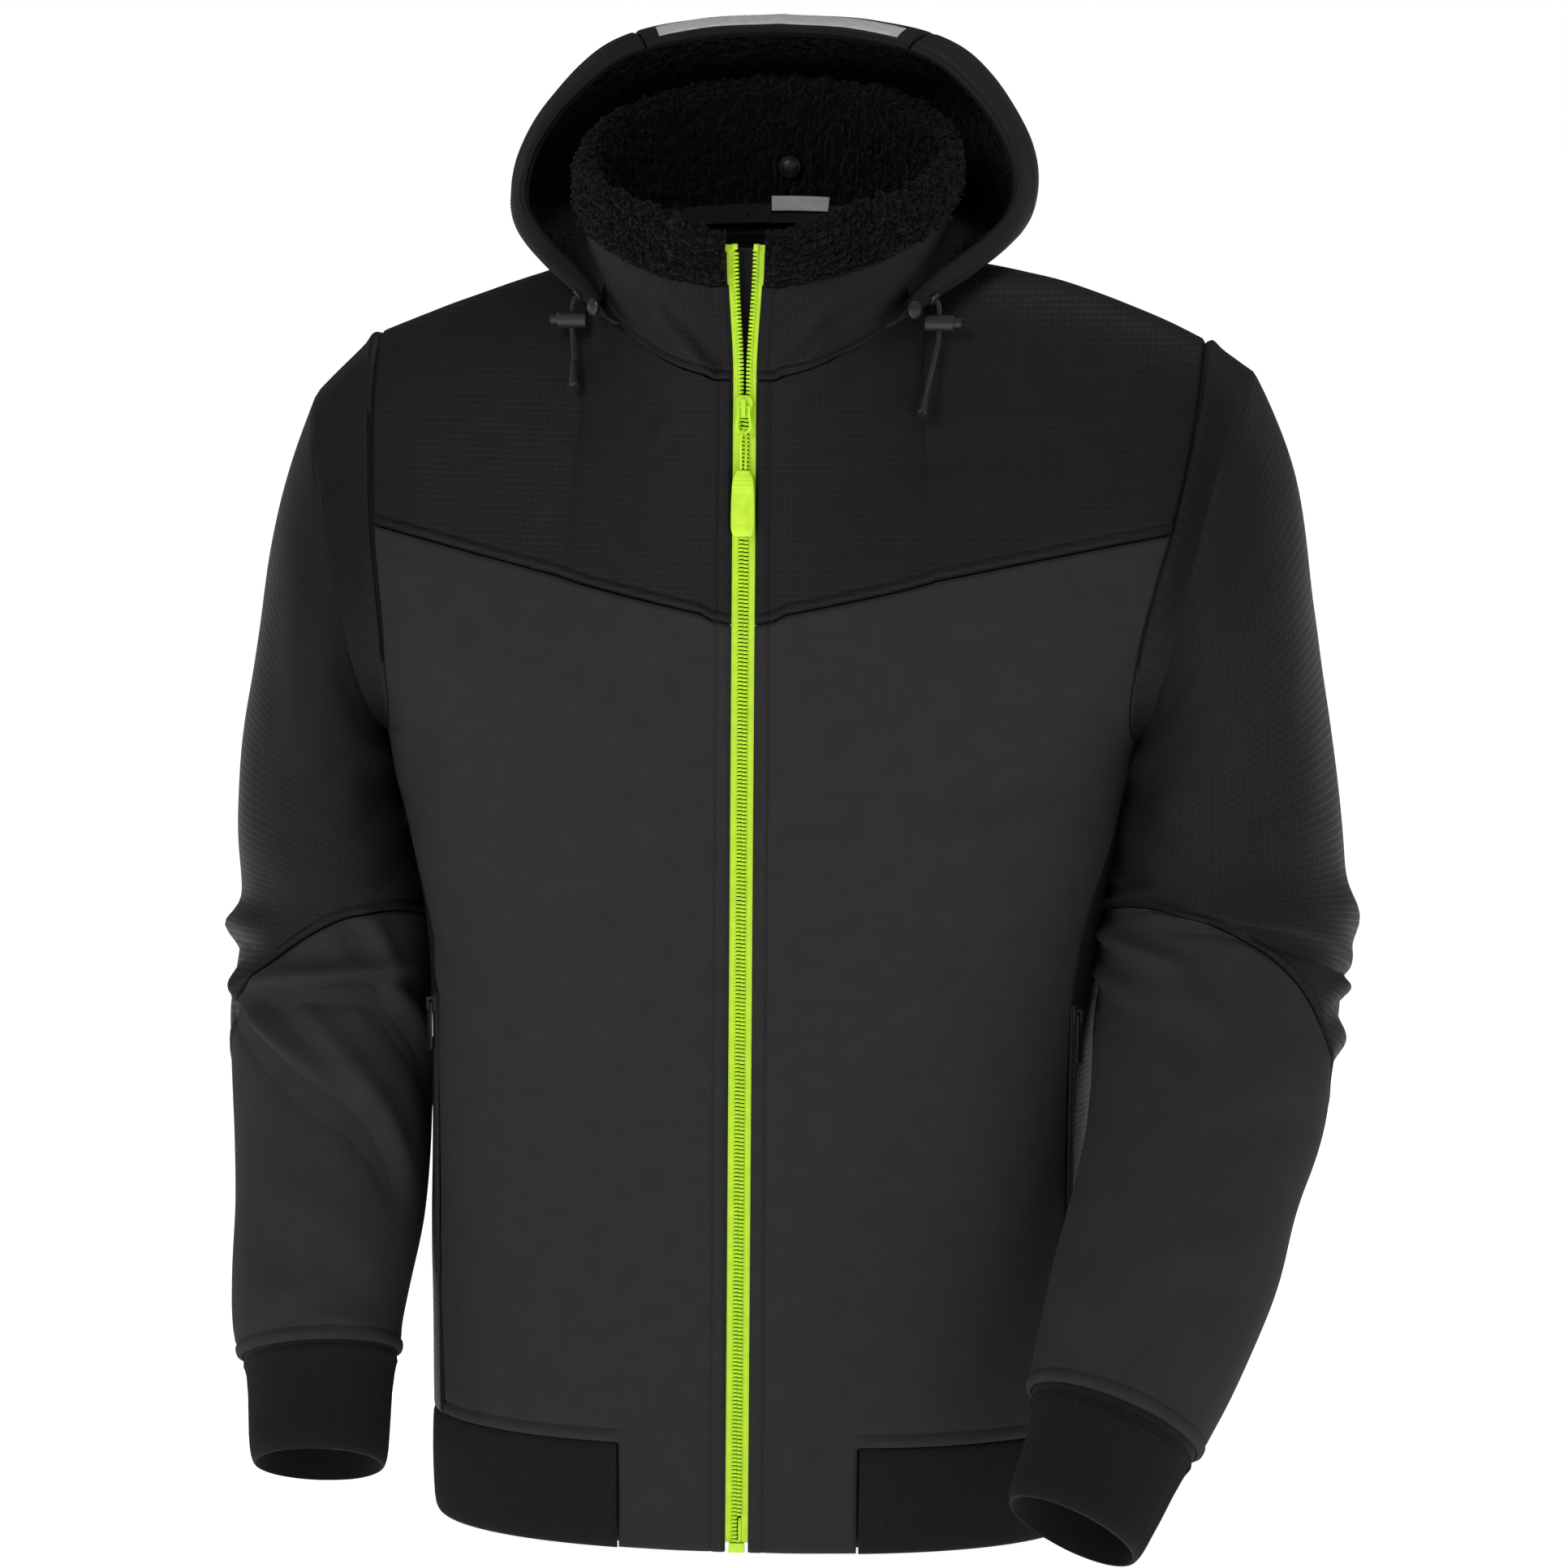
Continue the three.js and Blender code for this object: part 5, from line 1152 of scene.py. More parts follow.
sleeve_skins = {}
for side_name, side in SIDES:
    lips = np.array([0.5, 1.3, 2.6, 4, 5, 5.6, 6.2, 7, 9]) / 300
    shares = np.sort(np.concatenate([[0, 0], np.linspace(0, 1, 96), lips[:3], 1 - lips]))
    p, at = sleeve_grid(side, 0, elbow_seam(FINE_TURNS) - 0.03, shares)
    a, b = around_arm(at, FINE_TURNS[None, :])
    tuck = np.zeros(len(shares))
    tuck[:3] = (5.0, 3.4, 1.6)
    p = p - stack(side * tuck[:, None], 0, 0)
    fade = smoothstep(at, 0.35, 1.6)
    relief = fade * arm_relief(side, a, b)
    first, last = end_distances(p)
    relief = relief - sunk(first, 1.2, 1.2) + puffed(last, 6, 0.9, 0.8) - 0.7 * tuck[:, None]
    relief = relief + 1.4 * np.exp(-(((first - 5) / 5) ** 2)) * (1 + 0.25 * noise(a / 9, b / 40, 67))
    outer, n = cloth_piece(
        f"ripstop_sleeve_{side_name}", p, ripstop, [f"upper_sleeve_{side_name}"], relief=relief,
        outward=p.mean(axis=1, keepdims=True), closed=True, uv=np.stack([a, b], -1),
    )
    sleeve_skins[side] = (outer, n, last)

    lips = np.array([0.5, 1.3, 2.6, 4, 5.6, 7, 7.6, 8.2, 9, 11]) / 240
    shares = np.sort(np.concatenate([np.linspace(0, 1, 84), lips[:3], 1 - lips]))
    p, at = sleeve_grid(side, elbow_seam(FINE_TURNS), SEAM_STATION, shares)
    a, b = around_arm(at, FINE_TURNS[None, :])
    first, last = end_distances(p)
    relief = arm_relief(side, a, b)
    relief = relief * (0.25 + 0.75 * smoothstep(last, 0, 20)) + puffed(last, 7.6, 1.1, 0.9)
    relief = relief - sunk(first, 1.2, 1.2)
    outer, n = cloth_piece(
        f"softshell_forearm_{side_name}", p, softshell, [f"forearm_{side_name}"], relief=relief,
        outward=p.mean(axis=1, keepdims=True), closed=True, uv=np.stack([a, b], -1),
    )
    sleeve_skins[side, "forearm"] = (outer, n, last)

    turns = np.radians(-90 + np.arange(840) * 360 / 840)[None, :]
    share = np.array([0, 0.05, 0.1, 0.16, 0.25, 0.4, 0.55, 0.7, 0.82, 0.9, 0.95, 0.975, 0.99, 1])
    at = lerp(SEAM_STATION - 0.1, CUFF_END, share)[:, None] + np.zeros_like(turns)
    p = sleeve(side, at, turns)
    relief, uv = ribbed(p, True, share)
    relief = relief - 4.5 * (1 - smoothstep(share, 0.02, 0.16))[:, None]
    cloth_piece(
        f"rib_cuff_{side_name}", p, rib_knit, [f"cuff_rib_{side_name}"], 2.3, -0.5,
        relief + 0.7 * noise(np.sin(turns) * 2.2, at * 1.5 + side, 81), outward=p.mean(axis=1, keepdims=True),
        closed=True, uv=uv,
    )
    p, at = sleeve_grid(side, 1.2, SEAM_STATION - 0.1, np.linspace(0, 1, 40))
    a, b = around_arm(at, FINE_TURNS[None, :])
    cloth_piece(
        f"lining_sleeve_{side_name}", p, fleece, [f"sleeve_lining_{side_name}"], -5.6, -7,
        drape(a, b, 30, 0.3, 85), outward=p.mean(axis=1, keepdims=True), closed=True,
    )

# ---- Collar ----


def zip_spread(z):
    """How far each zip half has drawn aside, above the slider."""
    return 3.4 * smoothstep(z, 662, 735)


def drawn_aside(p, side):
    shift = zip_spread(p[..., 2]) * (1 - smoothstep(np.abs(p[..., 0]), 17, 70))
    return p + stack(side * shift, 0, 0) * (p[..., 1] < 0)[..., None]


def collar_grid(ups, edge):
    """Points of the collar from the wearer's right front edge round to the left one."""
    strips = np.linspace(edge, FLAT_EDGE, 8)
    degrees = np.concatenate([np.linspace(13, 90, 56), np.linspace(90, 179.5, 54)[1:]])
    halves = []
    for side in (RIGHT, LEFT):
        columns = []
        for x in strips:
            z = lerp(NECK_FRONT_Z, COLLAR_TOP - COLLAR_RISE, ups)
            columns.append(stack(side * x, -front_depth(z), z))
        for value in degrees:
            p = collar(side, np.full(len(ups), math.radians(value)), ups)
            flat = -front_depth(p[:, 2])
            p[:, 1] = lerp(flat, p[:, 1], float(smoothstep(value, 13, 34)))
            columns.append(p)
        halves.append(drawn_aside(np.stack(columns, axis=1), side))
    return np.concatenate([halves[0], halves[1][:, ::-1]], axis=1)


ups = spread(0.005, 0.62, 52, lips=(0.5, 1.3, 2.6, 5, 5.6, 6.2), scale=1 / 90)
p = collar_grid(ups, ZIP_EDGE)
x, z = p[..., 0], p[..., 2]
from_edge = rim_distance(p, sides="lr")
relief = puffed(from_edge, EDGE_STITCH, 0.9, 0.7) + puffed(rim_distance(p, sides="b"), 5.6, 0.9, 0.7)
relief = relief + folds(
    x, z, ((-34, 684), -52, 66, 3.2, 2.6), ((-24, 676), -58, 46, 2.6, 1.6), ((40, 686), 54, 60, 3.4, 2.4),
    ((60, 700), 40, 50, 4, 1.4), ((-70, 704), -35, 60, 5, 1.4),
) * (p[..., 1] < 0)
relief = relief + drape(x, z, 26, 0.5, 91) - sunk(rim_distance(p), 1.2)
collar_outer, collar_n = cloth_piece(
    "ripstop_collar", p, ripstop, ["collar_outer"], relief=relief, outward=stack(0, -10, z),
)

SHERPA_EDGE, SHERPA_STEPS = 8.0, 130
SHERPA_OUTER = ((0.1, -5.5), (0.35, -6.5), (0.7, -6.5), (0.93, -5.6), (1.03, -3.4), (1.06, -0.6), (1.03, 2.6),
                (0.93, 4.4), (0.8, 4.8), (0.68, 4.4), (0.62, 3.0))
SHERPA_INNER = ((0.1, -2.2), (0.35, -2.2), (0.7, -2.2), (0.88, -2.2), (0.94, -1.6), (0.95, -0.9), (0.94, 0.4),
                (0.88, 0.6), (0.8, 0.6), (0.7, 0.6), (0.63, 0.6))


def band(path, steps):
    """Points of a band whose section is a path of (up, out) pairs."""
    path = np.array(path)
    at = np.linspace(0, len(path) - 1, steps)
    ups, outs = (np.interp(at, np.arange(len(path)), path[:, k]) for k in (0, 1))
    p = collar_grid(ups, SHERPA_EDGE)
    flat = collar_grid(np.clip(ups, 0.02, 0.98), SHERPA_EDGE)
    n = normals_of(collar_grid(np.linspace(0, 1, steps), SHERPA_EDGE), False)
    centre = stack(0, -10, flat[..., 2])
    n = np.where((np.sum(n * (flat - centre), -1) < 0)[..., None], -n, n)
    return p + n * outs[:, None, None]


def pair_piece(name, outer, inner, material, replaces=(), uv=None):
    """A closed piece between two grids of points with the same shape."""
    quads, mask = grid_faces(*outer.shape[:2], False)
    total = outer.shape[0] * outer.shape[1]
    sheets = [quads[mask], quads[mask][:, ::-1] + total, rim_faces(quads, mask, False, total)]
    thick = np.sum(normals_of(outer, False) * (outer - inner))
    if thick < 0:
        sheets = [s[:, ::-1] for s in sheets]
    if uv is None:
        uv = np.stack(arc_lengths(outer), -1)
    points = np.concatenate([outer.reshape(-1, 3), inner.reshape(-1, 3)])
    made = write_mesh(name, points, sheets, material, np.concatenate([uv.reshape(-1, 2)] * 2))
    return finish_piece(made, replaces)


def curly(p, height, size, seed):
    """Uneven rounded clumps of pile, placed by the distances along the cloth."""
    u, v = (length / size for length in arc_lengths(p))
    clumps = np.abs(noise(u, v, seed)) + 0.7 * np.abs(noise(1.6 * u + 0.5 * v, 1.6 * v - 0.5 * u, seed + 1))
    return height * (1.7 * clumps - 0.7)


def finer(p, factor):
    """The same grid with more columns."""
    new = np.linspace(0, p.shape[1] - 1, (p.shape[1] - 1) * factor + 1)
    low = np.minimum(new.astype(int), p.shape[1] - 2)
    return lerp(p[:, low], p[:, low + 1], (new - low)[None, :, None])


outer, inner = (finer(band(path, SHERPA_STEPS), 5) for path in (SHERPA_OUTER, SHERPA_INNER))
n = normals_of(outer, False)
if float(np.sum(n * (outer - inner))) < 0:
    n = -n
pile = curly(outer, 2.2, 4.0, 95) + curly(outer, 0.9, 2.1, 97)
outer = outer + n * pile[..., None]
for skin in (outer, inner):
    near_zip = 1 - smoothstep(np.hypot(skin[..., 0], 0.5 * (skin[..., 1] + 126)), 14, 60)
    skin[..., 2] -= 8 * near_zip * smoothstep(skin[..., 2], 716, 748)
pair_piece("sherpa_collar", outer, inner, sherpa, ["collar_sherpa"])


def inner_band(name, node, degrees, ups, out, inside, material, relief):
    columns = []
    for value in degrees:
        side = RIGHT if value < 180 else LEFT
        turn = math.radians(min(value, 360 - value))
        columns.append(collar(side, np.full(len(ups), turn), ups))
    p = np.stack(columns, axis=1)
    cloth_piece(name, p, material, [node], out, inside, relief(p), outward=stack(0, -10, p[..., 2]))


def tape_ribs(p):
    return 0.2 * np.sin(2 * np.pi * arc_lengths(p)[1] / 1.6)


inner_band("neck_binding", "neck_tape", np.linspace(100, 260, 90), np.linspace(0.07, 0.2, 24), -7.4, -8.8,
           tape_cloth, tape_ribs)
inner_band("blank_neck_label", "neck_label", np.linspace(177, 199, 24), np.linspace(0.15, 0.25, 10), -10.2,
           -11.0, label_cloth, lambda p: 0.12 * noise(p[..., 0] / 6, p[..., 2] / 6, 99))

# ---- Hood ----


def hood_grid(rounds, ups):
    return hood(rounds[None, :], ups[:, None])


def hood_piece(name, node, rounds):
    p = hood_grid(rounds, hood_ups)
    n = -normals_of(p, False)
    outer = p + n * (SHELL + hood_relief(p, rounds, hood_ups))[..., None]
    pair_piece(name, outer, p, ripstop, [node])
    return outer, n


def hood_relief(p, rounds, ups):
    x, z = p[..., 0], p[..., 2] + p[..., 1]
    shape = drape(x, z, 40, 1.0, 101) + folds(
        x, z, ((-120, 800), 60, 90, 8, 1.6), ((122, 780), 120, 100, 8, 1.8), ((-70, 860), 20, 120, 12, 1.4),
        ((80, 850), -20, 120, 12, 1.4),
    )
    fade = smoothstep(1 - ups, 0.0, 0.06)[:, None] * smoothstep(1 - np.abs(rounds), 0.0, 0.12)[None, :]
    edges = -sunk(rim_distance(p), 1.2)
    turned = puffed(rim_distance(p, sides="t"), 16, 0.7, 0.6)
    seamed = puffed(rim_distance(p, sides="b"), 5, 0.6, 0.4)
    return 0.5 * shape * fade + edges + turned + seamed


HOOD_CENTRE = 0.27
hood_ups = spread(0, 1, 70, lips=(0.5, 1.3, 2.6, 14.8, 15.6, 16.4), scale=1 / 190)
centre_rounds = spread(-HOOD_CENTRE, HOOD_CENTRE, 56, scale=1 / 300)
hood_skins = {0: hood_piece("ripstop_hood_centre", "hood_centre_panel", centre_rounds)}
for side_name, side in SIDES:
    rounds = spread(*sorted((side * (HOOD_CENTRE + 0.004), side)), 100, scale=1 / 330)
    hood_skins[side] = hood_piece(f"ripstop_hood_{side_name}", f"hood_side_{side_name}", rounds)


p = hood_grid(np.linspace(-0.84, 0.84, 420), np.linspace(0.05, 0.86, 120))
n = -normals_of(p, False)
depth = 4.8 + curly(p, 1.6, 4.2, 107) + curly(p, 0.7, 2.2, 109)
pair_piece("sherpa_hood", p - n * 3.2, p - n * depth[..., None], sherpa, ["hood_lining"])
ups = spread(0.87, 0.995, 18, lips=(0.5, 1.3, 2.6, 5, 5.6, 6.2), scale=1 / 190)
rounds = spread(-0.985, 0.985, 240, scale=1 / 330)
p = hood_grid(rounds, ups)
n = -normals_of(p, False)
swell = puffed(rim_distance(p, sides="tb"), 5.6, 0.8, 0.5) + 0.5 * drape(p[..., 0], p[..., 1], 22, 0.6, 111)
pair_piece(
    "hood_rim_facing", p - n * 1.6, p - n * (3.4 + 0.8 * swell)[..., None], facing_cloth,
    ["hood_facing"],
)
hood_facing_skin = (p - n * 3.8, -n)
p = hood_grid(np.linspace(-0.24, 0.24, 80), np.linspace(0.93, 0.985, 10))
n = -normals_of(p, False)
strip = 3.3 + 0.12 * np.sin(p[..., 0] * 1.4) * np.sin(p[..., 1] * 3)
pair_piece("reflective_strip", p + n * strip[..., None], p + n * 2.6, reflective,
           ["hood_reflective_strip"])

# ---- Main zip ----

LEAN = math.atan(0.016)
SLIDER_AT = 648.0
TAPE_START, PIN_TOP, ZIP_FOOT, ZIP_TOP = 2.6, 20.0, 6.0, 738.0
TOOTH_PITCH = 2.2


def zip_place(local):
    """From the zip's own line (across, out from the cloth, up along it) to the coat."""
    x, out, along = local[..., 0], local[..., 1], local[..., 2]
    c, s = math.cos(LEAN), math.sin(LEAN)
    return stack(x, -126 - out * c + along * s, along * c + out * s)


def prism(outline, low, high, shrink=1.0):
    """A block from an outline in (across, out), with slightly smaller ends."""
    ring = np.array(outline, float)
    middle = ring.mean(axis=0)
    small = middle + (ring - middle) * shrink
    inset = (high - low) * 0.18
    levels = ((small, low), (ring, low + inset), (ring, high - inset), (small, high))
    points = np.concatenate([np.column_stack([r, np.full(len(r), h)]) for r, h in levels])
    m = len(ring)
    quads = np.array([
        (k * m + i, k * m + (i + 1) % m, (k + 1) * m + (i + 1) % m, (k + 1) * m + i)
        for k in range(3) for i in range(m)
    ])
    caps = np.array([list(range(m))[::-1], [3 * m + i for i in range(m)]])
    return points, quads, caps


def many(block, places):
    """Copies of one block at several offsets, as points, quads and caps."""
    points, quads, caps = block
    spots = np.asarray(places, float)
    every = (points[None] + spots[:, None]).reshape(-1, 3)
    step = np.arange(len(spots))[:, None, None] * len(points)
    return every, (quads[None] + step).reshape(-1, 4), (caps[None] + step).reshape(-1, caps.shape[1])


TOOTH = [
    (-0.55, 0.1), (0.1, -0.5), (1.0, -0.7), (3.1, -0.7), (3.3, 0.8), (3.1, 2.2), (1.0, 2.2), (0.1, 2.0),
]
for side_name, side in SIDES:
    start = ZIP_FOOT if side == RIGHT else PIN_TOP
    offset = 0 if side == RIGHT else TOOTH_PITCH / 2
    along = np.arange(start + offset + 1, ZIP_TOP - 3, TOOTH_PITCH)
    outline = [(side * x, out) for x, out in TOOTH]
    if side == RIGHT:
        outline = outline[::-1]
    spread_by = np.where(along > SLIDER_AT - 4, 1.0, 0.0) + zip_spread(along)
    tooth = prism(outline, -0.72, 0.72, 0.86)
    points, quads, caps = many(tooth, stack(side * spread_by, -1.6, along))
    made = write_mesh(f"zip_teeth_{side_name}", zip_place(points), [quads, caps], neon_tape)
    finish_piece(made)

    across = np.array([0, 0.3, 0.7, 1.5, 2.6, 3.6, 4.6, 5.8, 7.2, 9.2, 11.2, 12.0, 12.4, 12.6])
    rows = spread(ZIP_FOOT, ZIP_TOP, 330, lips=(0.5, 1.3), scale=1)
    aside = zip_spread(rows)
    local = stack(side * (TAPE_START + across[None, :] + aside[:, None]), -0.85, rows[:, None])
    groove = -0.12 * np.exp(-(((across - 3.1) / 0.35) ** 2)) - 0.3 * np.exp(-((across / 0.4) ** 2))
    relief = groove[None, :] + 0.09 * np.sin(np.pi * rows[:, None] / 1.1 + side * across[None, :] * 2.2)
    p = zip_place(local)
    n = normals_of(p, False)
    n = n * np.where(n[..., 1:2] > 0, -1, 1)
    pair_piece(
        f"zip_webbing_{side_name}", p + n * (0.42 + relief)[..., None], p - n * 0.42, neon_tape,
        [f"zip_tape_{side_name}"], uv=local[..., [0, 2]],
    )
    stop_at = side * (1.7 + 1.0 + float(zip_spread(ZIP_TOP)))
    stop = prism([(-1.5, -1), (1.5, -1), (1.7, 0.9), (1.5, 2.8), (-1.5, 2.8), (-1.7, 0.9)], -1.6, 1.6, 0.85)
    points, quads, caps = many(stop, [(stop_at, -1.6, ZIP_TOP - 1.2)])
    made = write_mesh(f"zip_top_stop_{side_name}", zip_place(points), [quads, caps], neon_metal)
    finish_piece(made)

pin = [(1.0, -0.2), (2.6, -0.2), (2.9, 0.9), (2.6, 1.9), (1.0, 1.9), (0.8, 0.9)]
points, *faces = prism(pin, ZIP_FOOT, PIN_TOP, 0.9)
made = write_mesh("zip_insertion_pin", zip_place(points - np.array([0, 1.7, 0])), faces, neon_metal)
finish_piece(made)

for side_name, side in SIDES:
    across = np.linspace(7.2, 16.8, 10)
    rows = np.linspace(ZIP_FOOT, ZIP_TOP - 4, 150)
    aside = zip_spread(rows)
    local = stack(side * (across[None, :] + aside[:, None]), -0.18, rows[:, None])
    p = zip_place(local)
    pair_piece(
        f"front_turning_{side_name}", p + np.array([0, -0.12, 0]), p + np.array([0, 0.12, 0]), facing_cloth,
        uv=local[..., [0, 2]],
    )

guard_x = np.linspace(-14, 14, 57)
guard_rows = np.linspace(6, ZIP_TOP - 2, 240)
local = stack(guard_x[None, :], -8.2, guard_rows[:, None])
ribs = 0.35 * np.sin(2 * np.pi * guard_x / 2.2)[None, :]
p = zip_place(local)
front_way = np.array([0.0, -1.0, 0.0])
pair_piece(
    "zip_wind_guard", p + front_way * (0.65 + ribs)[..., None], p - front_way * 0.65, tape_cloth,
    ["zip_guard"], uv=local[..., [0, 2]],
)

# The moulded tab: a soft-cornered plate, thicker at its low end, with grip bars and a blank panel.
TAB_TOP, TAB_LENGTH = SLIDER_AT - 35.4, 37.0


def pull_tab():
    rows = spread(0, 1, 60, lips=(0.4, 0.9, 1.6), scale=1 / TAB_LENGTH)
    turns = np.linspace(0, 2 * np.pi, 41)[:-1]
    widen = smooth_through([(0, 3.4), (0.1, 5.4), (0.28, 6.3), (0.8, 6.7), (0.95, 6.0), (1, 4.2)])(rows)
    thick = smooth_through([(0, 1.1), (0.1, 1.6), (0.5, 1.7), (0.9, 2.0), (1, 1.2)])(rows)
    c, s = np.cos(turns), np.sin(turns)
    across = np.sign(c) * np.abs(c) ** 0.45
    out = np.sign(s) * np.abs(s) ** 0.6
    panel = smoothstep(rows, 0.3, 0.34) * (1 - smoothstep(rows, 0.82, 0.86))
    grips = 0.28 * np.exp(-(((rows[:, None] * TAB_LENGTH - np.array([4, 6.4, 8.8])) / 0.6) ** 2)).sum(axis=1)
    inset = 0.35 * panel[:, None] * (np.abs(across) < 0.72)[None, :]
    depth = out[None, :] * thick[:, None] + np.sign(out)[None, :] * (grips[:, None] - inset)
    local = stack(across[None, :] * widen[:, None], 4.6 + depth, TAB_TOP - rows[:, None] * TAB_LENGTH)
    points = zip_place(local)
    quads, mask = grid_faces(len(rows), len(turns), True)
    low_cap = np.arange(len(turns))[None]
    high_cap = (len(rows) - 1) * len(turns) + np.arange(len(turns))[None, ::-1]
    faces = [quads[mask][:, ::-1], low_cap, high_cap]
    made = write_mesh("zip_tab", points, faces, neon_rubber)
    finish_piece(made, ["zip_pull_tab"], "zip_pull_tab")


pull_tab()

# ---- Hand pockets ----

POCKET_LOW, POCKET_HIGH, POCKET_OUT = 140.0, 306.0, 2.5


def one_point(side, height):
    angle = np.radians(np.array([[69.0, 69.3, 69.6]]))
    heights = np.array([[height - 1], [height], [height + 1]])
    p = torso(side, FRONT, angle, heights)
    n = normals_of(p, False)[1, 1]
    middle = p[1, 1]
    return middle, n if n @ (middle * np.array([1, 1, 0])) > 0 else -n


for side_name, side in SIDES:
    top, normal = one_point(side, POCKET_HIGH)
    foot = one_point(side, POCKET_LOW)[0]
    up = unit(top - foot)
    out_way = unit(np.array([normal[0], normal[1], 0.0]))
    across_way = np.cross(-out_way, up)

    def pocket_place(local, top=top, up=up, out_way=out_way, across_way=across_way):
        return top + local[..., :1] * across_way + local[..., 1:2] * out_way + local[..., 2:] * up

    reach = POCKET_HIGH - POCKET_LOW
    rows = np.linspace(0, -reach, 220)
    across = np.linspace(-3.5, 3.5, 15)
    local = stack(across[None, :], POCKET_OUT + 1.1, rows[:, None])
    ribs = 0.1 * np.sin(2 * np.pi * rows / 1.4)[:, None]
    lift = np.zeros_like(local)
    lift[..., 1] = 0.55 + ribs - 0.35 * (np.abs(across) > 3.2)
    base = pocket_place(local + lift)
    under = pocket_place(local - np.array([0, 0.55, 0]))
    pair_piece(f"pocket_zip_{side_name}", base, under, tape_cloth,
               [f"pocket_zip_{side_name}"], uv=local[..., [0, 2]])
    coil = prism([(-1.3, 0), (-0.5, -0.1), (0.9, 0.1), (1.3, 0.7), (0.6, 1.2), (-1.0, 1.1)], -0.42, 0.42, 0.8)
    spots = stack(0.25 * np.where(np.arange(148) % 2, 1, -1), POCKET_OUT + 1.5, -1 - np.arange(148) * 1.1)
    points, quads, caps = many(coil, spots)
    made = write_mesh(f"pocket_coil_{side_name}", pocket_place(points), [quads, caps], black_plastic)
    finish_piece(made)

    angles = np.radians(np.linspace(24, 64, 30))
    heights = np.linspace(95, 300, 40)
    p = torso(side, FRONT, angles[None, :], heights[:, None])
    cloth_piece(
        f"pocket_bag_{side_name}", p, fleece, [f"pocket_bag_{side_name}"], -7.6, -8.8,
        0.3 * noise(p[..., 0] / 20, p[..., 2] / 20, 121), outward=body_axis(p),
    )

# ---- Stitches ----


def line_at(outer, n, distance, wanted, keep=None, axis=0):
    """The line of a sheet that lies at a wanted distance from one edge: for each column the height,
    or for each row the place across, where the distance is reached. Returns its points and normals."""
    found, ways = [], []
    count = outer.shape[1] if axis == 0 else outer.shape[0]
    for k in range(count):
        d = distance[:, k] if axis == 0 else distance[k]
        pts = outer[:, k] if axis == 0 else outer[k]
        nrm = n[:, k] if axis == 0 else n[k]
        order = np.argsort(d)
        if d.min() > wanted or d.max() < wanted:
            continue
        found.append([np.interp(wanted, d[order], pts[order, m]) for m in range(3)])
        ways.append([np.interp(wanted, d[order], nrm[order, m]) for m in range(3)])
    found, ways = np.array(found), np.array(ways)
    if keep is not None:
        chosen = keep(found)
        found, ways = found[chosen], ways[chosen]
    return found, ways


def edge_line(skin, sides, wanted):
    """The line of a sheet at a wanted distance from its left, right, bottom or top edge."""
    outer, n = skin
    return line_at(outer, n, rim_distance(outer, sides=sides), wanted, axis=1 if sides in "lr" else 0)


for side_name, side in SIDES:
    p, outer, n, from_zip = panel_edges[side]
    above = np.where(p[..., 2] > RIB_HEIGHT, p[..., 2] - RIB_HEIGHT, 1e9)
    stitches(f"stitches_front_{side_name}", [
        line_at(outer, n, from_zip, EDGE_STITCH, lambda q: q[:, 2] > 3, axis=1),
        line_at(outer, n, above, 8.0, lambda q: np.abs(q[:, 0]) > 66),
    ], thread)
    p, outer, n, from_seam = panel_edges[side, "yoke"]
    stitches(f"stitches_yoke_{side_name}", [
        line_at(outer, n, from_seam, 6.0, lambda q: np.abs(q[:, 0]) > 15),
        line_at(outer, n, rim_distance(p, sides="l"), EDGE_STITCH, lambda q: q[:, 2] < 661, axis=1),
    ], dark_thread)
    for part, key, wanted, color, slot in (
        ("elbow", side, 6.0, dark_thread, "ripstop"), ("cuff", (side, "forearm"), 7.6, thread, "softshell"),
    ):
        outer, n, last = sleeve_skins[key]
        order = np.r_[np.arange(outer.shape[1]), 0]
        row = line_at(outer[:, order], n[:, order], last[:, order], wanted)
        stitches(f"stitches_{part}_{side_name}", [row], color)
    stitches(f"stitches_hood_{side_name}", [edge_line(hood_skins[side], "t", 15.8)], dark_thread)

above = back_outer[..., 2] - RIB_HEIGHT
stitches("stitches_back", [line_at(back_outer, back_n, above, 8.0)], thread)
yoke_line = edge_line((yoke_back_outer, yoke_back_n), "b", 6.0)
stitches("stitches_back_yoke", [yoke_line], dark_thread)
collar_lines = [
    edge_line((collar_outer, collar_n), sides, wanted)
    for sides, wanted in (("b", 5.0), ("l", EDGE_STITCH), ("r", EDGE_STITCH))
]
stitches("stitches_collar", collar_lines, dark_thread)
stitches("stitches_hood_centre", [edge_line(hood_skins[0], "t", 15.8)], dark_thread)
stitches("stitches_hood_facing", [edge_line(hood_facing_skin, "b", 3.0)], dark_thread)

# ---- Flap that joins each side of the hood to the collar ----

for side_name, side in SIDES:
    rounds = np.linspace(0.5, 0.93, 30)
    shares = np.linspace(0, 1, 12)[:, None]
    turn = np.pi - math.radians(132) * rounds
    start = collar(np.full(30, side), turn, np.full(30, 0.34))
    end = hood(side * rounds, np.full(30, 0.42))
    p = lerp(start[None], end[None], shares[..., None]) - stack(0, 0, 7 * np.sin(np.pi * shares))
    n = normals_of(p, False)
    pair_piece(f"hood_flap_{side_name}", p + n * 0.5, p - n * 0.5, facing_cloth)

# ---- Snap stud of the inner collar ----


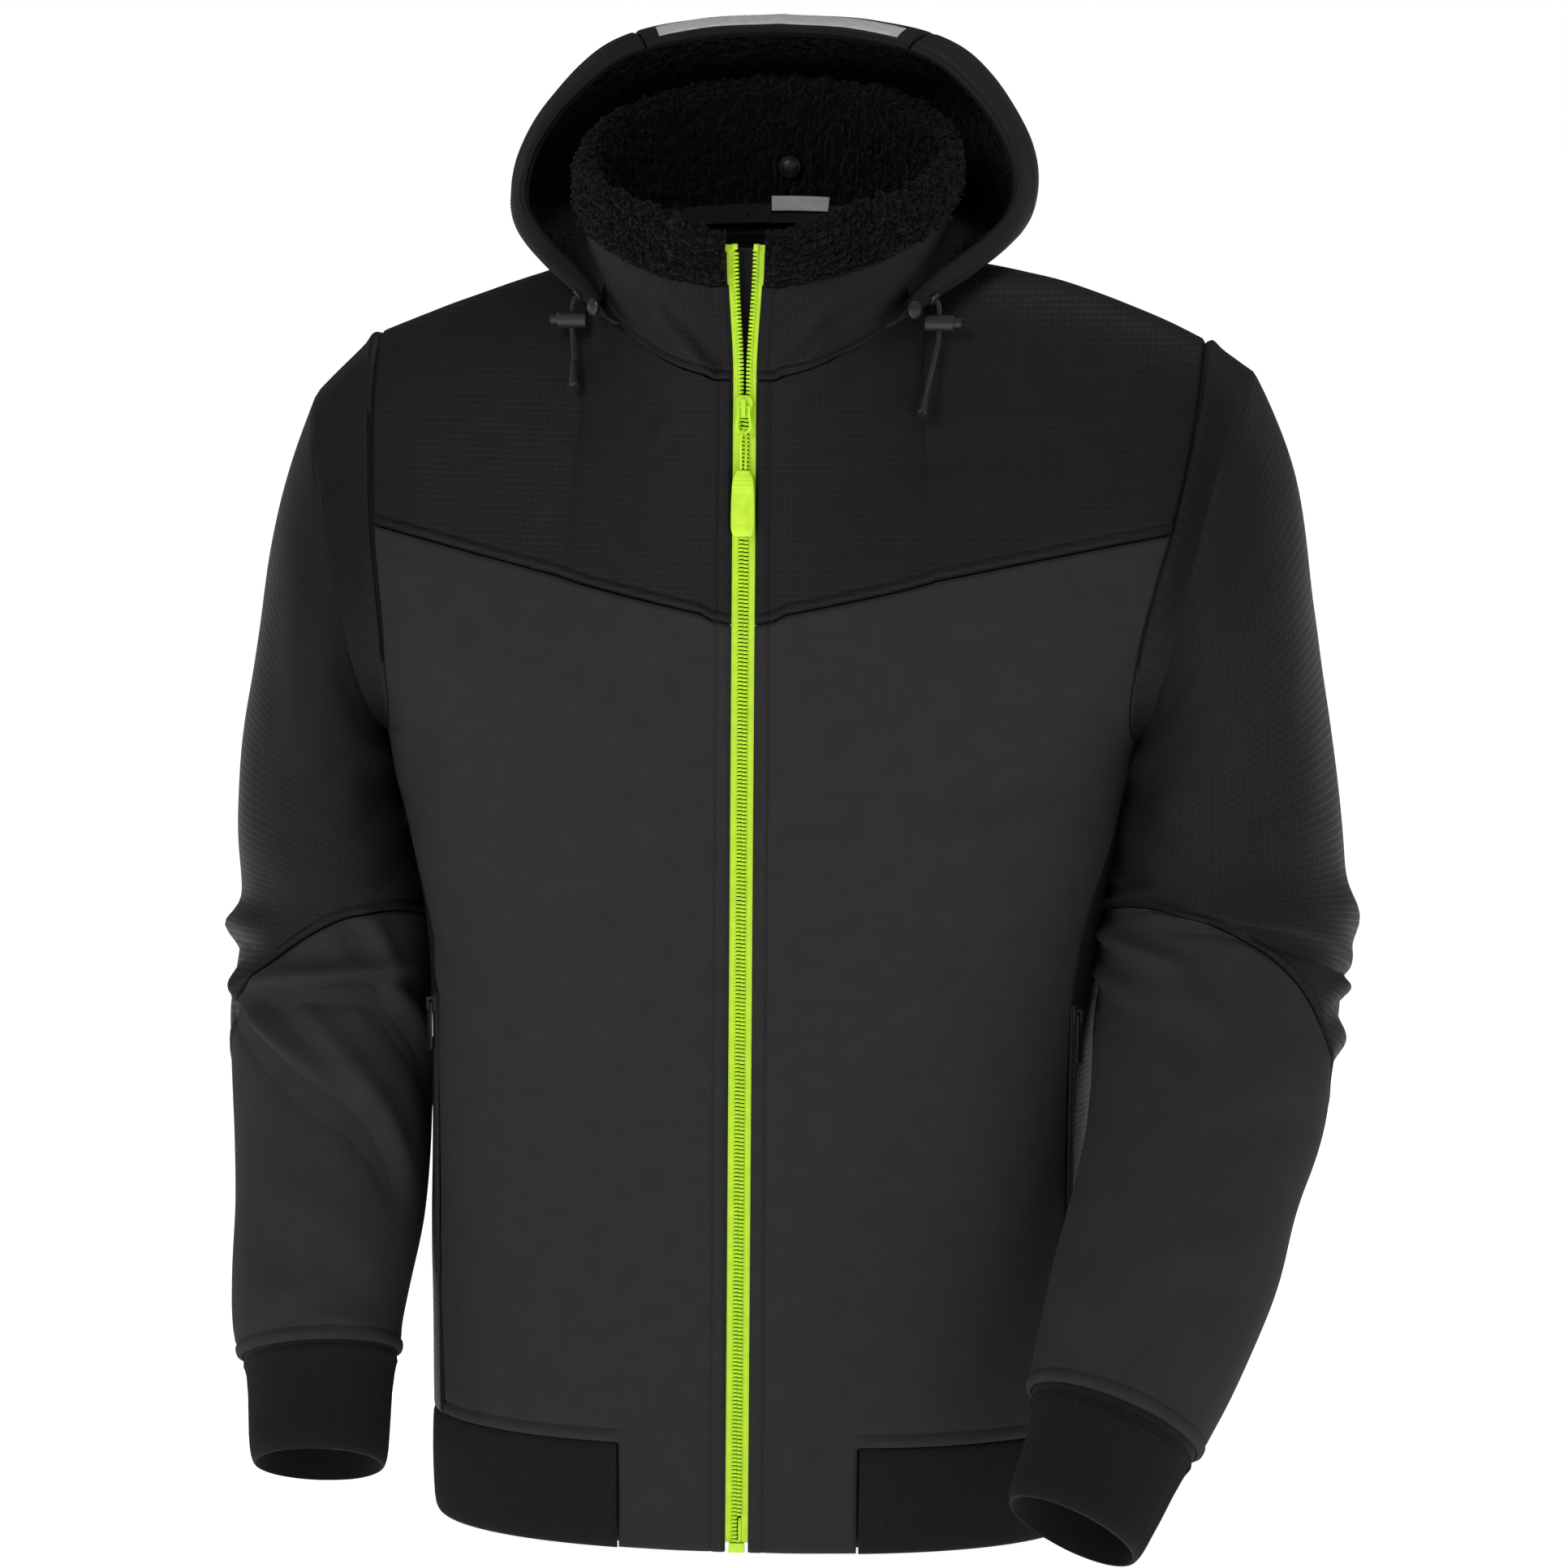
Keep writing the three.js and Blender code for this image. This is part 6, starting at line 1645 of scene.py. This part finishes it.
def snap_stud():
    """A low dome with a rim, on the pile of the centre back."""
    centre = collar(LEFT, np.radians(177), 0.46) + np.array([0, -11.5, 0])
    turns = np.linspace(0, 2 * np.pi, 33)[:-1]
    profile = np.array([
        (0.2, 2.6), (2.0, 2.5), (3.6, 2.1), (4.6, 1.4), (5.0, 0.9), (6.2, 0.8), (6.6, 0.0), (6.2, -1.5),
    ])
    ring = stack(np.cos(turns), 0, np.sin(turns))
    points = centre + profile[:, :1, None] * ring[None] + profile[:, 1:, None] * np.array([0.0, -1.0, 0.25])
    quads, mask = grid_faces(len(profile), len(turns), True)
    low_cap = np.arange(len(turns))[None, ::-1]
    high_cap = (len(profile) - 1) * len(turns) + np.arange(len(turns))[None]
    made = write_mesh("collar_snap_stud", points, [quads[mask], low_cap, high_cap], black_plastic)
    finish_piece(made)


snap_stud()

# ---- Small CAD parts that keep their shape ----

CAD_LOOKS = {
    "zip_slider": neon_metal, "zip_pull_link": neon_metal, "zip_retainer_box": neon_metal,
    "zip_pull_loop": neon_rubber,
}
for side_name, side in SIDES:
    for node in ("hood_snap", "cord_eyelet", "cord_lock", "cord_end", "pocket_slider"):
        CAD_LOOKS[f"{node}_{side_name}"] = gunmetal
    for node in ("lock_plunger", "pocket_pull"):
        CAD_LOOKS[f"{node}_{side_name}"] = black_plastic
for node, material in CAD_LOOKS.items():
    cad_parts[node].data.materials.clear()
    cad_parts[node].data.materials.append(material)


# ---- Floor and studio light ----


def studio():
    """A wide plain floor. The camera sees the world behind it as white from every side."""
    half = 60.0
    bottom = -NECK_HEIGHT / 1000 - 0.002
    corners = [(x * half, y * half, bottom) for x, y in ((-1, -1), (1, -1), (1, 1), (-1, 1))]
    mesh = bpy.data.meshes.new("floor")
    mesh.from_pydata(corners, [], [(0, 1, 2, 3)])
    pale, shader = new_material("pale_floor", (0.93, 0.93, 0.93), 0.9, specular=0.1)
    shader.inputs["Emission Color"].default_value = (1, 1, 1, 1)
    shader.inputs["Emission Strength"].default_value = 0.95
    mesh.materials.append(pale)
    floor = bpy.data.objects.new("floor", mesh)
    bpy.context.scene.collection.objects.link(floor)


def lamp(name, place, aim, size, power):
    data = bpy.data.lights.new(name, "AREA")
    data.shape = "RECTANGLE"
    data.size, data.size_y = size
    data.energy = power
    light = bpy.data.objects.new(name, data)
    light.location = place
    light.rotation_euler = (Vector(place) - Vector(aim)).to_track_quat("Z", "Y").to_euler()
    bpy.context.scene.collection.objects.link(light)


studio()
lamp("key", (-1.6, -3.0, 1.9), (0, 0, -0.2), (1.3, 1.3), 42)
lamp("fill", (2.6, -2.6, 0.9), (0, 0, -0.3), (1.6, 2.2), 9)
lamp("top", (0.9, 0.3, 2.6), (0.1, 0, 0), (1.6, 1.2), 18)
lamp("rim_left", (2.6, 1.4, 0.8), (0, 0, -0.2), (0.8, 2.2), 7)
lamp("rim_right", (-2.6, 1.4, 0.8), (0, 0, -0.2), (0.8, 2.2), 5)
world = bpy.data.worlds.new("world")
world.use_nodes = True
background = world.node_tree.nodes["Background"]
background.inputs["Color"].default_value = (1, 1, 1, 1)
rays = world.node_tree.nodes.new("ShaderNodeLightPath")
strength = world.node_tree.nodes.new("ShaderNodeMapRange")
strength.inputs["To Min"].default_value = 0.1
strength.inputs["To Max"].default_value = 1.0
world.node_tree.links.new(rays.outputs["Is Camera Ray"], strength.inputs["Value"])
world.node_tree.links.new(strength.outputs["Result"], background.inputs["Strength"])
bpy.context.scene.world = world
bpy.context.scene.view_settings.view_transform = "Standard"
